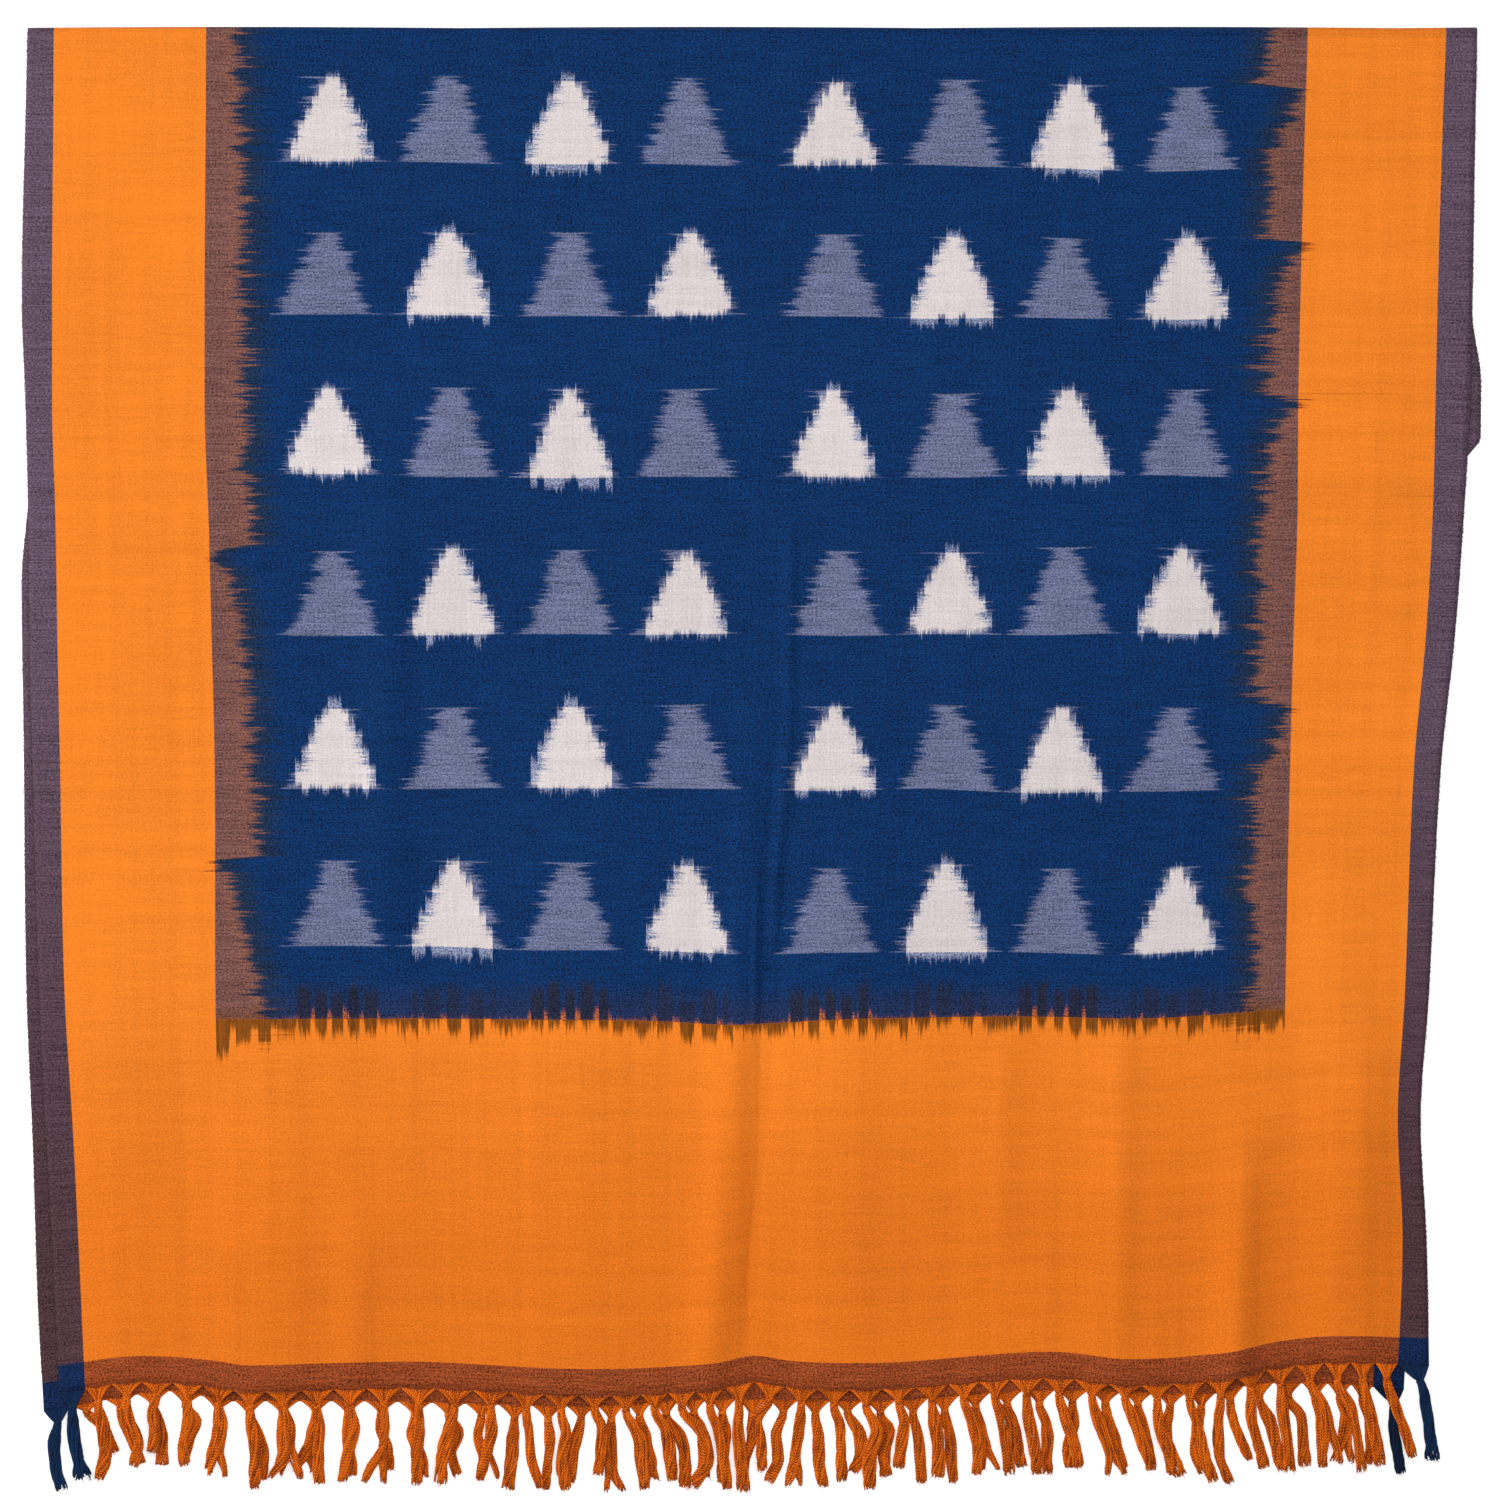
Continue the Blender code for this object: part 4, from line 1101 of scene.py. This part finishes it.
    # Handloom texture: crossing threads, uneven yarn, and faint bars along warp and weft; and painted shade
    # on the back half
    wave = 2.0 * math.pi / v["weavePitch"]
    crossing = (c * wave).maths("SINE") * (t * wave).maths("SINE")
    grain, fine, weftLine, warpLine, weftBar, warpBar, patch, mottle = (
        cloud(tree, c * acrossScale, t * alongScale, detail) - 0.5
        for acrossScale, alongScale, detail in clouds
    )
    dark = blueWarp.maths("MAXIMUM", blueWeft) * (1.0 - whiteWarp * whiteWeft)
    mixed = ((blueWarp - blueWeft).size().maths("MAXIMUM", whiteWeft * (1.0 - whiteWarp))) * dark
    coarse = (grain * 1.5 + fine * 1.0) * (dark * 1.72 - mixed * 0.60 + inStrip * 0.30 + low * 0.13 + 0.36)
    weftLines = (weftLine * 0.50 + crossing * 0.10) * (dark * 1.15 + mixed * 0.60 + 0.45)
    warpLines = warpLine * 0.28 * (dark * 1.15 - mixed * 0.80 + whiteWarp * whiteWeft * 0.35 + 0.45)

    def pick(woven, start, end):  # a thicker weft thread that begins between start and end
        return (1.0 - (t - woven).size().rises(0.3, 0.9)) * c.rises(start, end)

    longPick = pick(282.0, 985.0, 990.0) * (1.0 - c.rises(1050.0, 1085.0))
    shortPick = pick(361.0, 1055.0, 1075.0) * (1.0 - inSelvedge)
    # Painted shade: the whole back half (t below 0) is made 0.10 darker, where it shows beside and beneath
    # the front half
    toneAndShade = coarse + weftLines + warpLines - longPick * 0.20 - shortPick * 0.12 - (1.0 - t.above(0.0)) * 0.10
    toneAndShade = toneAndShade + weftBar * 0.15 + warpBar * 0.14 + patch * 0.16 + mottle * dark * 0.30 + 1.0
    scaled = tree.nodes.new("ShaderNodeVectorMath")
    scaled.operation = "SCALE"
    plug(tree, scaled.inputs[0], color)
    plug(tree, scaled.inputs["Scale"], toneAndShade.maths("MAXIMUM", 0.0))
    tree.links.new(scaled.outputs[0], shader.inputs["Base Color"])

    relief = crossing * 0.25 + (weftLine + warpLine) * 0.5 + grain * 0.5 + fine * 0.3
    addBump(tree, shader, relief, 0.6, 0.00025)
    plug(tree, shader.inputs["Roughness"], grain * 0.2 + 0.86)
    shader.inputs["Sheen Weight"].default_value = 0.03
    shader.inputs["Sheen Roughness"].default_value = 0.5
    shader.inputs["Specular IOR Level"].default_value = 0.10
    return material


def fibreGroup():
    # Twisted yarn: plies wind round it, with fine fibres along them. Puts out a tone, which is painted shade
    # in the grooves between the plies and random from fibre to fibre and yarn to yarn, and a bump height.
    group = bpy.data.node_groups.new("twistedYarn", "ShaderNodeTree")
    for name in ("Around", "Along", "Tint"):
        group.interface.new_socket(name=name, in_out="INPUT", socket_type="NodeSocketFloat")
    for name in ("ToneAndShade", "Height"):
        group.interface.new_socket(name=name, in_out="OUTPUT", socket_type="NodeSocketFloat")
    source = group.nodes.new("NodeGroupInput")
    target = group.nodes.new("NodeGroupOutput")
    around, along, tint = (Wire(group, out) for out in source.outputs[:3])
    # The plies' stripes darken the grooves between them: painted shade
    ply = ((around * 2.0 + along * 420.0 + tint * 7.0) * (2 * math.pi)).maths("SINE") * 0.5 + 0.5
    fibre = cloud(group, around * 9.0 + tint * 50.0, along * 900.0, 3.0)
    uneven = cloud(group, tint * 31.0, along * 90.0, 2.0)
    toneAndShade = ply * 0.22 + (fibre - 0.5) * 0.40 + (uneven - 0.5) * 0.30 + tint * 0.16 + 0.80
    plug(group, target.inputs["ToneAndShade"], toneAndShade)
    plug(group, target.inputs["Height"], ply * 0.6 + fibre * 0.4)
    return group


def makeYarn(name, color, shade, fibres):
    material, tree, shader = newMaterial(name)
    around, along = readUv(tree, "yarn")
    tint = tree.nodes.new("ShaderNodeAttribute")
    tint.attribute_name = "tint"
    yarn = tree.nodes.new("ShaderNodeGroup")
    yarn.node_tree = fibres
    plug(tree, yarn.inputs["Around"], around)
    plug(tree, yarn.inputs["Along"], along)
    plug(tree, yarn.inputs["Tint"], tint.outputs["Fac"])
    toneAndShade = Wire(tree, yarn.outputs["ToneAndShade"])
    # Painted shade: where the tone is low the yarn takes its darker copy
    plug(tree, shader.inputs["Base Color"], toneAndShade.rises(0.85, 1.11).blends(shade, color))
    addBump(tree, shader, yarn.outputs["Height"], 0.7, 0.0004)
    shader.inputs["Roughness"].default_value = 0.85
    shader.inputs["Sheen Weight"].default_value = 0.03
    shader.inputs["Specular IOR Level"].default_value = 0.10
    return material


fibres = fibreGroup()
yarnColoursAndShade = {  # linear colours of a yarn's lit side and its painted shade; for the edge threads these are also their orange and dark purple weft
    "orangeYarn": ((0.880, 0.180, 0.006), (0.215, 0.030, 0.001)),
    "blueYarn": ((0.005, 0.030, 0.100), (0.003, 0.014, 0.045)),
    "navyYarn": ((0.005, 0.018, 0.055), (0.002, 0.008, 0.022)),
    "edgeYarn": ((0.210, 0.085, 0.060), (0.050, 0.032, 0.055)),
}
yarns = {name: makeYarn(name, color, shade, fibres) for name, (color, shade) in yarnColoursAndShade.items()}
cloth.data.materials.append(makeIkat())
edgeThreads.data.materials.append(yarns["edgeYarn"])
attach(edgeThreads, "root")
for name, _, node, _, _, yarn, slotName in tasselSets:
    tassels[name].data.materials.append(yarns[yarn])
    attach(tassels[name], "root")
    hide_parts(node)
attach(cloth, "root")
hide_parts("shawl_cloth")
print("dyed and dressed")


# Stage: a pale floor, a large soft light from the upper left and a camera straight above
stageValues = {
    "viewWidth": 1.1625,  # metres across the picture
    "pictureSide": 1500,
    "cameraHeight": 4.0,
    "sensor": 36.0,
    "floorSide": 6.0,
    "floorGlow": 0.46,
    "worldLight": 0.263,
}
lamps = [  # name, place, size, power
    ("softLeft", (-4.0, 0.5, 2.0), 2.0, 120.0),
    ("softTop", (0.1, 0.3, 2.4), 2.0, 42.0),
]


def makeStage():
    v = stageValues
    material, tree, shader = newMaterial("paleFloor")
    speckle = tree.nodes.new("ShaderNodeTexNoise")
    place = tree.nodes.new("ShaderNodeTexCoord")
    tree.links.new(place.outputs["Object"], speckle.inputs["Vector"])
    speckle.inputs["Scale"].default_value = 40.0
    speckles = Wire(tree, speckle.outputs["Fac"])
    plug(tree, shader.inputs["Base Color"], speckles.blends((0.80, 0.80, 0.80), (0.83, 0.83, 0.83)))
    shader.inputs["Roughness"].default_value = 0.9
    shader.inputs["Specular IOR Level"].default_value = 0.1
    shader.inputs["Emission Color"].default_value = (1.0, 1.0, 1.0, 1.0)
    shader.inputs["Emission Strength"].default_value = v["floorGlow"]
    side = v["floorSide"]
    mesh = bpy.data.meshes.new("floor")
    corners = [(-side, -side, 0), (side, -side, 0), (side, side, 0), (-side, side, 0)]
    mesh.from_pydata(corners, [], [(0, 1, 2, 3)])
    floor = addObject("floor", mesh)
    floor.data.materials.append(material)

    for name, where, size, power in lamps:
        light = bpy.data.lights.new(name, "AREA")
        light.size = size
        light.energy = power
        lamp = addObject(name, light)
        lamp.location = where
        aim = np.array([0.0, -0.1, 0.0]) - np.array(where)
        lamp.rotation_mode = "QUATERNION"
        lamp.rotation_quaternion = Vector(aim).to_track_quat("-Z", "Y")

    world = bpy.data.worlds.new("studio")
    world.use_nodes = True
    background = world.node_tree.nodes["Background"]
    background.inputs["Color"].default_value = (1.0, 1.0, 1.0, 1.0)
    background.inputs["Strength"].default_value = v["worldLight"]
    bpy.context.scene.world = world

    data = bpy.data.cameras.new("above")
    data.sensor_width = v["sensor"]
    data.lens = v["sensor"] * v["cameraHeight"] / v["viewWidth"]
    camera = addObject("above", data)
    middle = v["pictureSide"] / 2
    camera.location = (
        partShift[0] + (middle - photoMiddle) * photoPixel,
        partShift[1] + clothValues["foldY"] - (middle - photoFold) * photoPixel,
        v["cameraHeight"],
    )
    data.clip_end = 50.0
    bpy.context.scene.camera = camera
    bpy.context.scene.view_settings.view_transform = "Standard"


makeStage()
print("stage set")
